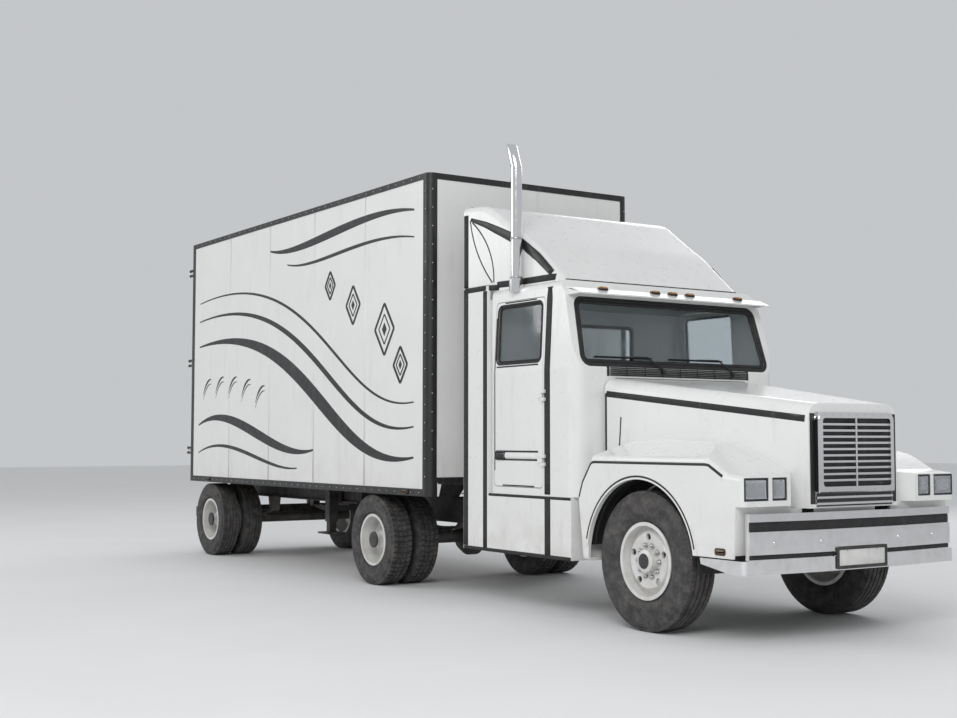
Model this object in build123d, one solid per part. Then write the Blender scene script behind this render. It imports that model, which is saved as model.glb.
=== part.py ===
from build123d import *
import os
from math import cos, hypot, pi, radians, sin

# Articulated lorry: a bonneted two-axle tractor and a short single-axle box semi-trailer.
# Millimetres. +X is forward, +Y is to the left, +Z is up, the ground is at Z = 0.
# The origin is the middle of the whole lorry's footprint.

# Stations along the lorry
front_reach = 1200
wheelbase = 4150
kingpin_lead = 180
nose_length = 970
box_length = 6100
trailer_axle_inset = 650
rear_hinge_offset = 70
rear_eye_r = 14
overall_length = (front_reach + wheelbase - kingpin_lead - nose_length
                  + box_length + rear_hinge_offset + rear_eye_r)
front_axle_x = overall_length / 2 - front_reach
drive_axle_x = front_axle_x - wheelbase
kingpin_x = drive_axle_x + kingpin_lead
box_front_x = kingpin_x + nose_length
box_rear_x = box_front_x - box_length
trailer_axle_x = box_rear_x + trailer_axle_inset

# Clearances
seat_gap = 0.3
door_gap = 6
door_latch_gap = 12

# Wheels and tyres
front_tyre_r = 540
front_tyre_w = 280
front_rim_r = 286
front_wheel_y = 975
rear_tyre_r = 455
rear_tyre_w = 250
rear_rim_r = 250
twin_pitch = 310
tyre_tuck = 15
front_spindle_r = 35
rear_spindle_r = 45
rim_thickness = 14
rim_flange = 8
bead_inset = 26
hand_holes = 5
front_hole_ring_r = 186
front_hole_r = 27
rear_hole_ring_r = 178
rear_hole_r = 24
tyre_facets = 36
tyre_shoulder = 24
bead_height = 22

# Steering
kingpin_y = 830
pivot_r = 24

# Axles and springs
drive_tube_r = 68
final_drive_r = 205
spring_width = 72
front_spring_length = 1300
drive_spring_length = 1000
trailer_spring_length = 900
hanger_half = 45

# Tractor frame
rail_y = 430
rail_height = 250
rail_flange = 75
rail_web = 10
rail_top = 870
rail_rear_overhang = 750

# Cab
cab_half_width = 1150
cab_front_setback = 800
cab_length = 1300
cab_floor_z = 1000
cab_belt_z = 2070
cab_roof_z = 2830
cab_wall = 50
tumblehome = 40
windshield_lean = 180
cab_front_x = front_axle_x - cab_front_setback
cab_rear_x = cab_front_x - cab_length
glass_thickness = 8
glass_inset = 18

# Cab doors
door_front_x = cab_front_x - 450
door_width = 750
door_bottom_z = cab_floor_z + cab_wall + 10
door_top_z = 2700
door_sill_z = 2150
door_window_edge = 45
door_hinge_offset = 15
door_hinge_levels = (1300, 1850)

# Window of the cab's back wall
back_window_half_width = 520
back_window_low_z = 2100
back_window_high_z = 2560

# Cab interior
seat_y = 480
seat_half_width = 260
seat_back_half_width = 240
seat_cushion_z = 1370
seat_base_top_z = 1380
seat_back_top_z = 2180
dash_bottom_z = 1560
dash_top_z = 2060
steering_z = 1960
steering_setback = 500
steering_lean = 42
steering_rim_r = 225
steering_rim_tube_r = 15
column_r = 26
column_length = 260

# Sun visor
visor_root_z = 2768
visor_reach = 190
visor_lip_z = 2700

# Side fairings
skirt_bottom_z = 480
skirt_thickness = 30
extender_length = 400

# Exhaust stack
stack_x = cab_rear_x + 400
stack_y = -(cab_half_width - tumblehome)
stack_top_z = 4090
stack_r = 50
stack_boot = 16
stack_tip_rise = 200
stack_tip_lean = 70
stack_bend_r = 260

# Roof fairing
fairing_top_z = 3640
fairing_crest = 280
fairing_toe_x = cab_front_x - windshield_lean - 150
fairing_waist = -stack_y - stack_r - 15
fairing_shell = 20
fairing_edge_r = 70

# Fuel tanks
tank_r = 245
tank_y = 790
tank_z = 735
tank_end_r = 30

# Engine and radiator
engine_half_width = 300
engine_bottom_z = 660
engine_top_z = 1480
radiator_top_z = 1610
radiator_thickness = 70
radiator_setback = 200
radiator_place_x = front_axle_x + front_reach - radiator_setback

# Hood and fenders
hood_gap = 15
hood_rear_x = cab_front_x + hood_gap
hood_setback = 70
hood_front_x = front_axle_x + front_reach - hood_setback
hood_rear_half_width = 850
hood_front_half_width = 480
hood_rear_top_z = 1990
hood_front_top_z = 1745
hood_bottom_z = 975
hood_shell_t = 25
arch_r = 630
arch_lip = 36
fender_bottom_z = 500
fender_crown_z = 1500
fender_shoulder_z = 1340
fender_front_z = 1215
fender_front_x = hood_front_x + 10
fender_shoulder_r = 40
hood_hinge_x = hood_front_x - 50
hood_hinge_z = 1010
hood_hinge_y = 372
hood_pin_r = 14

# Grille and lamps
grille_half_width = 415
grille_bottom_z = 1085
grille_top_z = 1680
grille_bars = 11
grille_border = 45
grille_bar_h = 16
grille_proud = 40
grille_apron_z = 985
grille_apron_proud = 15
lamp_pod_bottom_z = 1000
lamp_bottom_z = 1040
lamp_height = 165
lamp_pod_inner_y = 680
lamp_places = ((715, 865), (900, 1135))

# Bumper
bumper_half_width = 1145
bumper_face_half_width = 1090
bumper_bottom_z = 520
bumper_top_z = 950
bumper_grooves = ((625, 662), (820, 895))
bumper_thickness = 40
bumper_depth = 115
bumper_sweep = 60
bumper_flat_half = 420
bumper_wall = 25
groove_depth = 12
plate_proud = 10
plate_half_width = 270
plate_bottom_z = 530
plate_height = 160
plate_rim = 15
bumper_face_x = front_axle_x + front_reach - plate_proud
valance_top_z = 620
valance_tip_z = 575

# Fifth wheel
fifth_wheel_r = 450
fifth_wheel_t = 45
coupling_z = 1050
kingpin_r = 25.4
coupler_plate = 12

# Trailer box
box_half_width = 1235
twin_y = box_half_width - tyre_tuck - rear_tyre_w / 2 - twin_pitch / 2
box_bottom_z = 930
box_top_z = 4050
box_post = 100
box_rail = 40
box_side_rail_h = 70
box_top_rail_h = 60
box_panel = 25
panel_recess = 5
box_floor_top_z = 1200
floor_board = 30
nose_sill_top_z = coupling_z + coupler_plate + 50
nose_corner_r = 70
nose_swing_r = hypot(nose_length, box_half_width)
rear_door_t = 40
rear_door_gap = 6
rear_hinge_y = box_half_width - 10
rear_pin_r = 8
strap_reach = 330
rear_hinge_levels = (1330, 2480, 3680)
beam_y = 500
beam_bottom_z = 740
beam_start = 1700
beam_half_width = 55
axle_tube_r = 62
landing_leg_setback = 2200
landing_leg_half = 55
landing_foot_z = 380
landing_foot_t = 20
guard_half_width = 1150
guard_bottom_z = 470
guard_height = 120
guard_depth = 60
lock_rod_places = (240, 820)
lock_rod_r = 14
lock_handle_z = 1690
keeper_levels = (1700, 2500, 3300)
keeper_half = 32
roof_bows = 9
floor_members = 13

parts = {}


def block(x0, x1, y0, y1, z0, z1):
    """A box between two corners."""
    size = Box(abs(x1 - x0), abs(y1 - y0), abs(z1 - z0))
    return Pos((x0 + x1) / 2, (y0 + y1) / 2, (z0 + z1) / 2) * size


def outline(points, radius):
    """A closed face of straight runs with rounded corners."""
    if radius == 0:
        return make_face(Polyline(*points, close=True))
    return make_face(FilletPolyline(*points, radius=radius, close=True))


def set_in(face, inset):
    """A face drawn in by a distance on every side, its corners kept sharp."""
    if inset == 0:
        return face
    return offset(face, -inset, kind=Kind.INTERSECTION)


def from_side(points, y0, y1, radius=0, inset=0):
    """A prism across the lorry with an (x, z) outline."""
    face = set_in(outline(points, radius), inset)
    plane = Plane(origin=(0, y1, 0), x_dir=(1, 0, 0), z_dir=(0, -1, 0))
    return extrude(plane * face, y1 - y0)


def from_front(points, x0, x1, radius=0, inset=0):
    """A prism along the lorry with a (y, z) outline."""
    face = set_in(outline(points, radius), inset)
    plane = Plane(origin=(x0, 0, 0), x_dir=(0, 1, 0), z_dir=(1, 0, 0))
    return extrude(plane * face, x1 - x0)


def from_above(points, z0, z1, radius=0, inset=0):
    """An upright prism with an (x, y) outline."""
    face = set_in(outline(points, radius), inset)
    return Pos(0, 0, z0) * extrude(face, z1 - z0)


def rod_y(x, z, y0, y1, r):
    """A round bar across the lorry."""
    return Pos(x, (y0 + y1) / 2, z) * Rot(90, 0, 0) * Cylinder(r, abs(y1 - y0))


def rod_x(y, z, x0, x1, r):
    """A round bar along the lorry."""
    return Pos((x0 + x1) / 2, y, z) * Rot(0, 90, 0) * Cylinder(r, abs(x1 - x0))


def rod_z(x, y, z0, z1, r):
    """An upright round bar."""
    return Pos(x, y, (z0 + z1) / 2) * Cylinder(r, abs(z1 - z0))


def both_sides(solid):
    """A piece and its mirror image across the centre plane."""
    return solid + mirror(solid, Plane.XZ)


def spun(points, x, y, z, side):
    """A turned piece on a cross axis from an (r, outward) outline."""
    face = make_face(Polyline(*[(r, side * s) for r, s in points], close=True))
    return Pos(x, y, z) * revolve(face, Axis.Y)


def keep(name, solid):
    """Store one named piece."""
    parts[name] = solid


# Cab envelope, used by the shell, the doors, the glass and what sits on the roof
def cab_block(inset):
    """The cab's outer form, drawn in three views and set in by a wall."""
    brow_x = cab_front_x - windshield_lean
    side = [(cab_front_x, cab_floor_z), (cab_front_x, cab_belt_z),
            (brow_x, door_top_z + 10), (brow_x - 90, cab_roof_z),
            (cab_rear_x, cab_roof_z), (cab_rear_x, cab_floor_z)]
    top_half = cab_half_width - tumblehome
    front = [(cab_half_width, cab_floor_z), (cab_half_width, cab_belt_z), (top_half, cab_roof_z),
             (-top_half, cab_roof_z), (-cab_half_width, cab_belt_z), (-cab_half_width, cab_floor_z)]
    corner_r = max(20, 110 - inset)
    roof_r = max(20, 80 - inset)
    reach = cab_half_width + 100
    side_view = from_side(side, -reach, reach, inset=inset)
    front_face = set_in(outline(front, 0), inset)
    top_corners = front_face.vertices().sort_by(Axis.Y)[-2:]
    front_face = fillet(top_corners, roof_r)
    plane = Plane(origin=(cab_rear_x - 100, 0, 0), x_dir=(0, 1, 0), z_dir=(1, 0, 0))
    front_view = extrude(plane * front_face, cab_length + 300)
    plan = [(cab_front_x, cab_half_width), (cab_front_x, -cab_half_width),
            (cab_rear_x, -cab_half_width), (cab_rear_x, cab_half_width)]
    plan_face = set_in(outline(plan, 0), inset)
    plan_face = fillet(plan_face.vertices(), corner_r)
    plan_view = Pos(0, 0, cab_floor_z - 100) * extrude(plan_face, cab_roof_z - cab_floor_z + 300)
    return side_view & front_view & plan_view


def door_outline(shrink, latch_shrink):
    """The door's side view: upright edges and a rounded top."""
    front = door_front_x - shrink
    rear = door_front_x - door_width + latch_shrink
    low = door_bottom_z + shrink
    high = door_top_z - shrink
    return [(front, low), (front, high), (rear, high), (rear, low)]


def door_window_outline(shrink):
    """The door's window, in side view."""
    front = door_front_x - door_window_edge - shrink
    rear = door_front_x - door_width + door_window_edge + shrink
    high = door_top_z - door_window_edge - shrink
    return [(front, door_sill_z + shrink), (front, high), (rear, high), (rear, door_sill_z + shrink)]


def windshield_outline(shrink):
    """The windshield's opening, seen from the front."""
    low = cab_belt_z + 45 + shrink
    high = door_top_z - 45 - shrink
    wide = cab_half_width - 95 - shrink
    narrow = wide - tumblehome
    return [(wide, low), (narrow, high), (-narrow, high), (-wide, low)]


def rear_window_outline(shrink):
    """The back window's opening, seen from behind."""
    half = back_window_half_width - shrink
    low = back_window_low_z + shrink
    high = back_window_high_z - shrink
    return [(half, low), (half, high), (-half, high), (-half, low)]


outer_cab = cab_block(0)
inner_cab = cab_block(cab_wall)


def door_hinge(level, side, on_door):
    """One knuckle and its leaf: the door's in the middle, the cab's above and below."""
    axis_x = door_front_x - door_gap / 2
    axis_y = side * (cab_half_width + door_hinge_offset)
    eye_r = 11
    skin_y = side * (cab_half_width + 0.5)
    far_y = axis_y + side * eye_r
    reach = -46 if on_door else 46
    heights = [(level - 48, level - 20), (level + 20, level + 48)]
    if on_door:
        heights = [(level - 18, level + 18)]
    pieces = None
    for low, high in heights:
        leaf = block(axis_x, axis_x + reach, skin_y - side * 8, far_y, low, high)
        leaf = leaf - rod_z(axis_x, axis_y, low - 1, high + 1, eye_r + 0.5)
        leaf += block(axis_x + reach * 0.15, axis_x + reach, axis_y, far_y, low, high)
        eye = rod_z(axis_x, axis_y, low, high, eye_r)
        piece = leaf + eye
        pieces = piece if pieces is None else pieces + piece
    if on_door:
        return pieces - rod_z(axis_x, axis_y, level - 60, level + 60, 5 + seat_gap)
    return pieces + rod_z(axis_x, axis_y, level - 48, level + 48, 5)


def cab_shell():
    """Floor, walls, roof and pillars in one pressing, with its openings cut."""
    shell = outer_cab - inner_cab
    reach = cab_half_width + 100
    shell -= from_side(door_outline(0, 0), -reach, reach, radius=45)
    shell -= from_front(windshield_outline(0), cab_front_x - 500, cab_front_x + 50, radius=60)
    shell -= from_front(rear_window_outline(0), cab_rear_x - 50, cab_rear_x + cab_wall + 50, radius=50)
    for side in (1, -1):
        for level in door_hinge_levels:
            shell += door_hinge(level, side, False)
    return shell


def cab_glass():
    """Windshield and back window, each a curved or flat sheet in its opening."""
    sheet = cab_block(glass_inset) - cab_block(glass_inset + glass_thickness)
    front = from_front(windshield_outline(seat_gap), cab_front_x - 500, cab_front_x + 50, radius=60)
    back = from_front(rear_window_outline(seat_gap), cab_rear_x - 50, cab_rear_x + cab_wall, radius=50)
    return (sheet & front) + (sheet & back)


def cab_door(side):
    """A door as thick as the cab wall, with its window cut and two hinge leaves."""
    near = side * (cab_half_width - 200)
    far = side * (cab_half_width + 100)
    low_y, high_y = sorted((near, far))
    panel = from_side(door_outline(door_gap, door_latch_gap), low_y, high_y, radius=40)
    door = (outer_cab - inner_cab) & panel
    door -= from_side(door_window_outline(0), low_y, high_y, radius=45)
    for level in door_hinge_levels:
        door += door_hinge(level, side, True)
    return door


def door_glass(side):
    """The door's window pane."""
    near = side * (cab_half_width - 200)
    far = side * (cab_half_width + 100)
    low_y, high_y = sorted((near, far))
    pane = from_side(door_window_outline(seat_gap), low_y, high_y, radius=45)
    sheet = cab_block(glass_inset) - cab_block(glass_inset + glass_thickness)
    return sheet & pane


def sun_visor():
    """A curved brow over the windshield, on two end gussets."""
    brow_x = cab_front_x - windshield_lean
    half = cab_half_width - tumblehome - 25
    root = visor_root_z
    lip = visor_lip_z
    profile = [(brow_x - 60, root), (brow_x + 60, root - 16), (brow_x + visor_reach, lip),
               (brow_x + visor_reach - 4, lip - 12), (brow_x + 56, root - 29), (brow_x - 60, root - 16)]
    plate = from_side(profile, -half, half)
    gusset = from_side([(brow_x - 60, root - 8), (brow_x + visor_reach - 10, lip - 5),
                        (brow_x - 20, lip - 10)], half - 14, half)
    return (plate + both_sides(gusset)) - cab_block(-seat_gap)


def fairing_block(inset):
    """The roof fairing's form: a wedge that flares to the cab's full width behind the stack."""
    rear = cab_rear_x - extender_length
    crest_x = rear + fairing_crest
    toe_x = fairing_toe_x
    base = cab_roof_z - 60
    top = fairing_top_z
    rise = top - cab_roof_z
    profile = [(rear, base), (rear, top), (crest_x, top - 15), (toe_x - 440, cab_roof_z + 0.47 * rise),
               (toe_x, cab_roof_z + 15), (toe_x, base)]
    reach = cab_half_width + 100
    side = from_side(profile, -reach, reach, radius=[0, 0, 380, 1500, 0, 0], inset=inset)
    plan = [(rear, cab_half_width), (stack_x - 120, fairing_waist + 4), (toe_x, fairing_waist - 20)]
    plan += [(x, -y) for x, y in reversed(plan)]
    body = side & from_above(plan, base - 10, top + 10, radius=[0, 900, 0, 0, 900, 0], inset=inset)
    swoop = [e for e in body.edges() if abs(e.center().Y) > fairing_waist / 2
             and e.center().Z > cab_roof_z + 25 and e.center().X > rear + 30 + inset
             and e.center().X < toe_x - 10 - inset]
    return fillet(swoop, fairing_edge_r - inset)


def roof_fairing():
    """A thin moulded shell, open behind and below, sitting on the cab roof."""
    hollow = fairing_block(fairing_shell)
    rear = cab_rear_x - extender_length
    reach = cab_half_width - 2 * fairing_shell
    open_back = block(rear - 40, rear + 2 * fairing_shell, -reach, reach,
                      cab_roof_z - 80, fairing_top_z - 60)
    shell = fairing_block(0) - hollow - open_back
    shell -= block(rear - 40, cab_front_x, -cab_half_width, cab_half_width,
                   cab_roof_z - 200, cab_roof_z - 20)
    shell -= block(rear - 40, cab_rear_x, -cab_half_width - 10, cab_half_width + 10,
                   cab_roof_z - 200, cab_roof_z + 35 + seat_gap)
    shell -= rod_z(kingpin_x, 0, cab_roof_z - 200, fairing_top_z + 10, nose_swing_r)
    return shell - cab_block(-seat_gap)


def side_fairings():
    """Upright extenders behind the cab and the skirts below it."""
    rear = cab_rear_x - extender_length
    inner = cab_half_width - skirt_thickness
    extender = block(rear, cab_rear_x - seat_gap, inner, cab_half_width, skirt_bottom_z, cab_roof_z + 35)
    flange = block(cab_rear_x - skirt_thickness, cab_rear_x - seat_gap, inner - 140, inner,
                   skirt_bottom_z, cab_roof_z - 90)
    front = cab_front_x - 60
    skirt = block(cab_rear_x - seat_gap, front, inner, cab_half_width,
                  skirt_bottom_z, cab_floor_z - seat_gap)
    ledge = block(cab_rear_x - seat_gap, front, inner - 190, inner,
                  cab_floor_z - seat_gap - 25, cab_floor_z - seat_gap)
    lip = block(cab_rear_x - seat_gap, front, inner - 70, inner, skirt_bottom_z, skirt_bottom_z + 25)
    bulkhead = block(front - 30, front, inner - 560, inner, skirt_bottom_z, cab_floor_z - seat_gap)
    return both_sides(extender + flange + skirt + ledge + lip + bulkhead)


def dashboard():
    """The padded facia between the front pillars."""
    front = cab_front_x - cab_wall - seat_gap
    half = cab_half_width
    low = dash_bottom_z
    top = dash_top_z
    profile = [(front, low), (front, top - 30), (front - 90, top), (front - 330, top - 100),
               (front - 350, top - 280), (front - 210, low)]
    facia = from_side(profile, -half, half, radius=[0, 20, 60, 50, 60, 30])
    return (facia & cab_block(cab_wall + seat_gap)) - steering_place() * column(seat_gap)


def steering_place():
    """Where the steering wheel's hub sits and how its column leans."""
    return Pos(cab_front_x - steering_setback, seat_y, steering_z) * Rot(0, -steering_lean, 0)


def column(grow):
    """The steering column, or its hole when grown by a clearance."""
    return Pos(0, 0, -column_length / 2) * Cylinder(column_r + grow, column_length + 2 * grow)


def steering_wheel():
    """A rim, three spokes and the raked column that carries them."""
    rim = Torus(steering_rim_r, steering_rim_tube_r)
    boss = Cylinder(48, 44)
    spoke_length = steering_rim_r - 25
    spokes = None
    for turn in (90, 210, 330):
        arm = Rot(0, 0, turn) * Pos(30 + spoke_length / 2, 0, 0) * Box(spoke_length, 34, 14)
        spokes = arm if spokes is None else spokes + arm
    return steering_place() * (rim + boss + spokes + column(0))


def seats():
    """Two seats, each a pedestal, a cushion and a raked back."""
    rear = cab_rear_x + cab_wall
    floor = cab_floor_z + cab_wall + seat_gap
    pair = None
    low = seat_cushion_z
    top = seat_back_top_z
    for centre in (seat_y, -seat_y):
        base = block(rear + 170, rear + 520, centre - 180, centre + 180, floor, seat_base_top_z)
        cushion = from_side([(rear + 120, low), (rear + 620, low), (rear + 620, low + 150),
                             (rear + 120, low + 130)],
                            centre - seat_half_width, centre + seat_half_width, radius=35)
        back = from_side([(rear + 110, low + 70), (rear + 240, low + 70), (rear + 130, top),
                          (rear + 30, top - 10)],
                         centre - seat_back_half_width, centre + seat_back_half_width, radius=40)
        seat = base + cushion + back
        pair = seat if pair is None else pair + seat
    return pair


def exhaust_stack():
    """An upright pipe with a boot on the roof's edge and a tip that curves back."""
    x = stack_x
    y = stack_y
    pipe_r = stack_r
    top = stack_top_z
    foot = cab_roof_z - 60
    straight = top - stack_tip_rise
    path = Polyline((x, y, foot), (x, y, straight))
    tip = RadiusArc((x, y, straight), (x - stack_tip_lean, y, top), stack_bend_r)
    outer = sweep(Plane(origin=(x, y, foot), z_dir=(0, 0, 1)) * Circle(pipe_r), path=path + tip)
    bore = rod_z(x - 62, y, top - 60, top + 60, pipe_r - 5)
    boot = rod_z(x, y, cab_roof_z - 55, cab_roof_z + 55, pipe_r + stack_boot)
    pipe = ((outer + boot) - cab_block(-seat_gap)) - bore
    return pipe - fairing_block(-5)


# Frame and running gear
def rail(side):
    """A channel, open towards the other rail."""
    front = bumper_face_x - bumper_thickness - 1 - seat_gap
    rear = drive_axle_x - rail_rear_overhang
    low = rail_top - rail_height
    solid = block(rear, front, side * (rail_y - rail_flange), side * rail_y, low, rail_top)
    return solid - block(rear - 1, front + 1, side * (rail_y - rail_flange - 1), side * (rail_y - rail_web),
                         low + rail_web, rail_top - rail_web)


def frame_rails():
    """Two rails, their cross members, the cab mounts and the hood's hinge brackets."""
    low = rail_top - rail_height
    frame = rail(1) + rail(-1)
    inner = rail_y - rail_web
    stations = (radiator_place_x, front_axle_x - 1150, drive_axle_x + 1100,
                drive_axle_x + 400, drive_axle_x - rail_rear_overhang + 50)
    for x in stations:
        frame += block(x - 40, x + 40, -inner, inner, low + 40, rail_top - 40)
    for side in (1, -1):
        outer = hood_hinge_y + 30
        for x in (cab_front_x - 120, cab_rear_x + 120):
            frame += block(x - 60, x + 60, side * (rail_y - rail_flange), side * rail_y,
                           rail_top - 5, cab_floor_z - seat_gap)
        bracket = from_side([(hood_hinge_x - 210, rail_top - 60), (hood_hinge_x - 12, hood_hinge_z + 14),
                             (hood_hinge_x - 14, hood_hinge_z - 12), (hood_hinge_x - 130, rail_top - 60)],
                            *sorted((side * (outer + 22), side * outer)))
        frame += bracket
        frame += rod_y(hood_hinge_x, hood_hinge_z, side * outer, side * (outer + 22), hood_pin_r + 5)
        frame += rod_y(hood_hinge_x, hood_hinge_z, side * (hood_hinge_y - 14), side * (outer + 2), hood_pin_r)
    return frame


def front_axle():
    """A drop beam with a spring pad each side and an upright boss at each end."""
    z = front_tyre_r
    boss_r = 52
    half = kingpin_y - boss_r + 12
    drop = [(half, z + 48), (620, z + 20), (470, z - 40),
            (-470, z - 40), (-620, z + 20), (-half, z + 48),
            (-half, z - 48), (-600, z - 78), (-450, z - 130),
            (450, z - 130), (600, z - 78), (half, z - 48)]
    beam = from_front(drop, front_axle_x - 48, front_axle_x + 48)
    for side in (1, -1):
        beam += rod_z(front_axle_x, side * kingpin_y, z - 62, z + 62, boss_r)
    for side in (1, -1):
        beam -= rod_z(front_axle_x, side * kingpin_y, z - 70, z + 70, pivot_r + seat_gap)
    return beam


def knuckle(side):
    """A yoke with its pivot pin, the wheel spindle and a steering arm."""
    z = front_tyre_r
    y = side * kingpin_y
    ear_r = 46
    web_y = y + side * 78
    piece = rod_z(front_axle_x, y, z - 108, z + 108, pivot_r)
    for low, high in ((z - 104, z - 66), (z + 66, z + 104)):
        piece += rod_z(front_axle_x, y, low, high, ear_r)
        piece += block(front_axle_x - ear_r, front_axle_x + ear_r, y, web_y, low, high)
    web = block(front_axle_x - 60, front_axle_x + 60, y + side * 58, web_y, z - 104, z + 104)
    piece += web
    piece += rod_y(front_axle_x, z, web_y, side * (front_wheel_y + 78), front_spindle_r)
    piece += from_above([(front_axle_x - 40, y + side * 30), (front_axle_x - 40, y - side * 30),
                         (front_axle_x - 235, y - side * 90), (front_axle_x - 235, y - side * 40)],
                        z - 100, z - 76)
    return piece


def tyre(x, y, z, outer_r, rim_r, width):
    """A tyre in flat facets: beads, bulging sidewalls and a tread that stands on one facet."""
    half = width / 2
    bead = half - bead_inset - rim_flange - seat_gap
    wall = [(rim_r + seat_gap, bead), (rim_r + bead_height, bead),
            (rim_r + 0.55 * (outer_r - rim_r), half), (outer_r, half - tyre_shoulder)]
    section = wall + [(r, -s) for r, s in reversed(wall)]
    rings = [tyre_ring(x, y + s, z, r) for r, s in section]
    faces = []
    for i, ring in enumerate(rings):
        behind = rings[i - 1]
        for k in range(tyre_facets):
            faces.append(make_face(Polyline(behind[k - 1], behind[k], ring[k], ring[k - 1], close=True)))
    return Solid(Shell(faces))


def tyre_ring(x, y, z, r):
    """The corners of one ring of a tyre, which is r across its flats and has a flat below."""
    corner_r = r / cos(pi / tyre_facets)
    turns = [(k + 0.5) * 2 * pi / tyre_facets for k in range(tyre_facets)]
    return [(x + corner_r * sin(turn), y, z - corner_r * cos(turn)) for turn in turns]


def front_rim(side):
    """Barrel, a disc that bulges outwards, and the hub on its spindle."""
    half = front_tyre_w / 2 - bead_inset
    r = front_rim_r
    profile = [(front_spindle_r + seat_gap, -66), (80, -66), (80, 30), (150, 52), (205, 60),
               (r - 30, 18), (r - rim_thickness, 10), (r - rim_thickness, -half), (r + 14, -half),
               (r + 14, -half + rim_flange), (r, -half + rim_flange), (r, half - rim_flange),
               (r + 14, half - rim_flange), (r + 14, half),
               (r - rim_thickness, half), (r - rim_thickness, 32), (r - 34, 38), (210, 80),
               (150, 74), (96, 62), (88, 118), (60, 128),
               (0, 128), (0, 84), (front_spindle_r + seat_gap, 84)]
    y = side * front_wheel_y
    rim = spun(profile, front_axle_x, y, front_tyre_r, side)
    for i in range(hand_holes):
        turn = radians(360 * i / hand_holes + 18)
        hole_x = front_axle_x + front_hole_ring_r * cos(turn)
        hole_z = front_tyre_r + front_hole_ring_r * sin(turn)
        rim -= rod_y(hole_x, hole_z, y + side * 30, y + side * 100, front_hole_r)
    return rim


def twin_rims(x, side):
    """Two barrels with their discs back to back on one long hub."""
    seat = twin_pitch / 2
    half = rear_tyre_w / 2 - bead_inset
    r = rear_rim_r
    inner_end = seat - half
    outer_end = seat + half
    wheel = [(120, 10), (120, 26), (170, 30), (r - rim_thickness - 8, inner_end + 26),
             (r - rim_thickness, inner_end + 30), (r - rim_thickness, outer_end), (r + 12, outer_end),
             (r + 12, outer_end - rim_flange), (r, outer_end - rim_flange), (r, inner_end + rim_flange),
             (r + 12, inner_end + rim_flange),
             (r + 12, inner_end), (r - rim_thickness - 6, inner_end), (175, 12)]
    hub = [(rear_spindle_r + seat_gap, -150), (115, -150), (130, -20), (130, 20), (104, 60), (96, 150),
           (70, 176), (0, 176), (0, 120), (rear_spindle_r + seat_gap, 120)]
    y = side * twin_y
    z = rear_tyre_r
    rim = spun(hub, x, y, z, side) + spun(wheel, x, y, z, side)
    rim += spun([(radius, -s) for radius, s in wheel], x, y, z, side)
    for i in range(hand_holes):
        turn = radians(360 * i / hand_holes + 18)
        hole_x = x + rear_hole_ring_r * cos(turn)
        hole_z = z + rear_hole_ring_r * sin(turn)
        rim -= rod_y(hole_x, hole_z, y - side * 60, y + side * 60, rear_hole_r)
    return rim


def twin_tyres(x, side):
    """The inner and the outer tyre of a pair."""
    z = rear_tyre_r
    near = tyre(x, side * (twin_y - twin_pitch / 2), z, rear_tyre_r, rear_rim_r, rear_tyre_w)
    far = tyre(x, side * (twin_y + twin_pitch / 2), z, rear_tyre_r, rear_rim_r, rear_tyre_w)
    return near + far


def drive_axle():
    """A tube with a bowl-shaped final drive and a spindle each side."""
    z = rear_tyre_r
    tube = rod_y(drive_axle_x, z, -(twin_y - 160), twin_y - 160, drive_tube_r)
    tube += rod_y(drive_axle_x, z, -(twin_y + 112), twin_y + 112, rear_spindle_r)
    bowl = [(0, -150), (150, -120), (final_drive_r, -50), (final_drive_r, 50), (150, 120), (0, 150)]
    tube += spun(bowl, drive_axle_x, 0, z, 1)
    tube += rod_x(0, z + 30, drive_axle_x + 150, drive_axle_x + 330, 60)
    return tube


def leaf_spring(x, y, length, top, thickness, width, sag):
    """A spring pack bent to an arc, thicker in the middle."""
    half = length / 2
    profile = [(x - half, top), (x - half * 0.5, top - sag * 0.75), (x, top - sag),
               (x + half * 0.5, top - sag * 0.75), (x + half, top), (x + half, top - 16),
               (x + half * 0.55, top - sag * 0.7 - thickness * 0.7),
               (x + 90, top - sag - thickness), (x - 90, top - sag - thickness),
               (x - half * 0.55, top - sag * 0.7 - thickness * 0.7), (x - half, top - 16)]
    return from_side(profile, y - width / 2, y + width / 2)


def suspension():
    """Leaf springs in hangers under the rails, on the front and the drive axle."""
    low = rail_top - rail_height
    y = rail_y - rail_flange / 2
    near = y - spring_width / 2
    far = y + spring_width / 2
    seat = front_tyre_r - 40 + seat_gap
    front = leaf_spring(front_axle_x, y, front_spring_length, seat + 100, 55, spring_width, 45)
    reach = front_spring_length / 2 - 10
    for hanger_x in (front_axle_x - reach, front_axle_x + reach):
        front += block(hanger_x - hanger_half, hanger_x + hanger_half, near, far, seat + 70, low - seat_gap)
    drive = leaf_spring(drive_axle_x, y, drive_spring_length, rear_tyre_r + 150, 40, spring_width, 40)
    drive += block(drive_axle_x - 60, drive_axle_x + 60, near, far, rear_tyre_r + 60, rear_tyre_r + 80)
    reach = drive_spring_length / 2 - 20
    for hanger_x in (drive_axle_x - reach, drive_axle_x + reach):
        drive += block(hanger_x - hanger_half, hanger_x + hanger_half, near, far,
                       rear_tyre_r + 120, low - seat_gap)
    drive -= rod_y(drive_axle_x, rear_tyre_r, y - 60, y + 60, drive_tube_r + seat_gap)
    return both_sides(front + drive)


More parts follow.
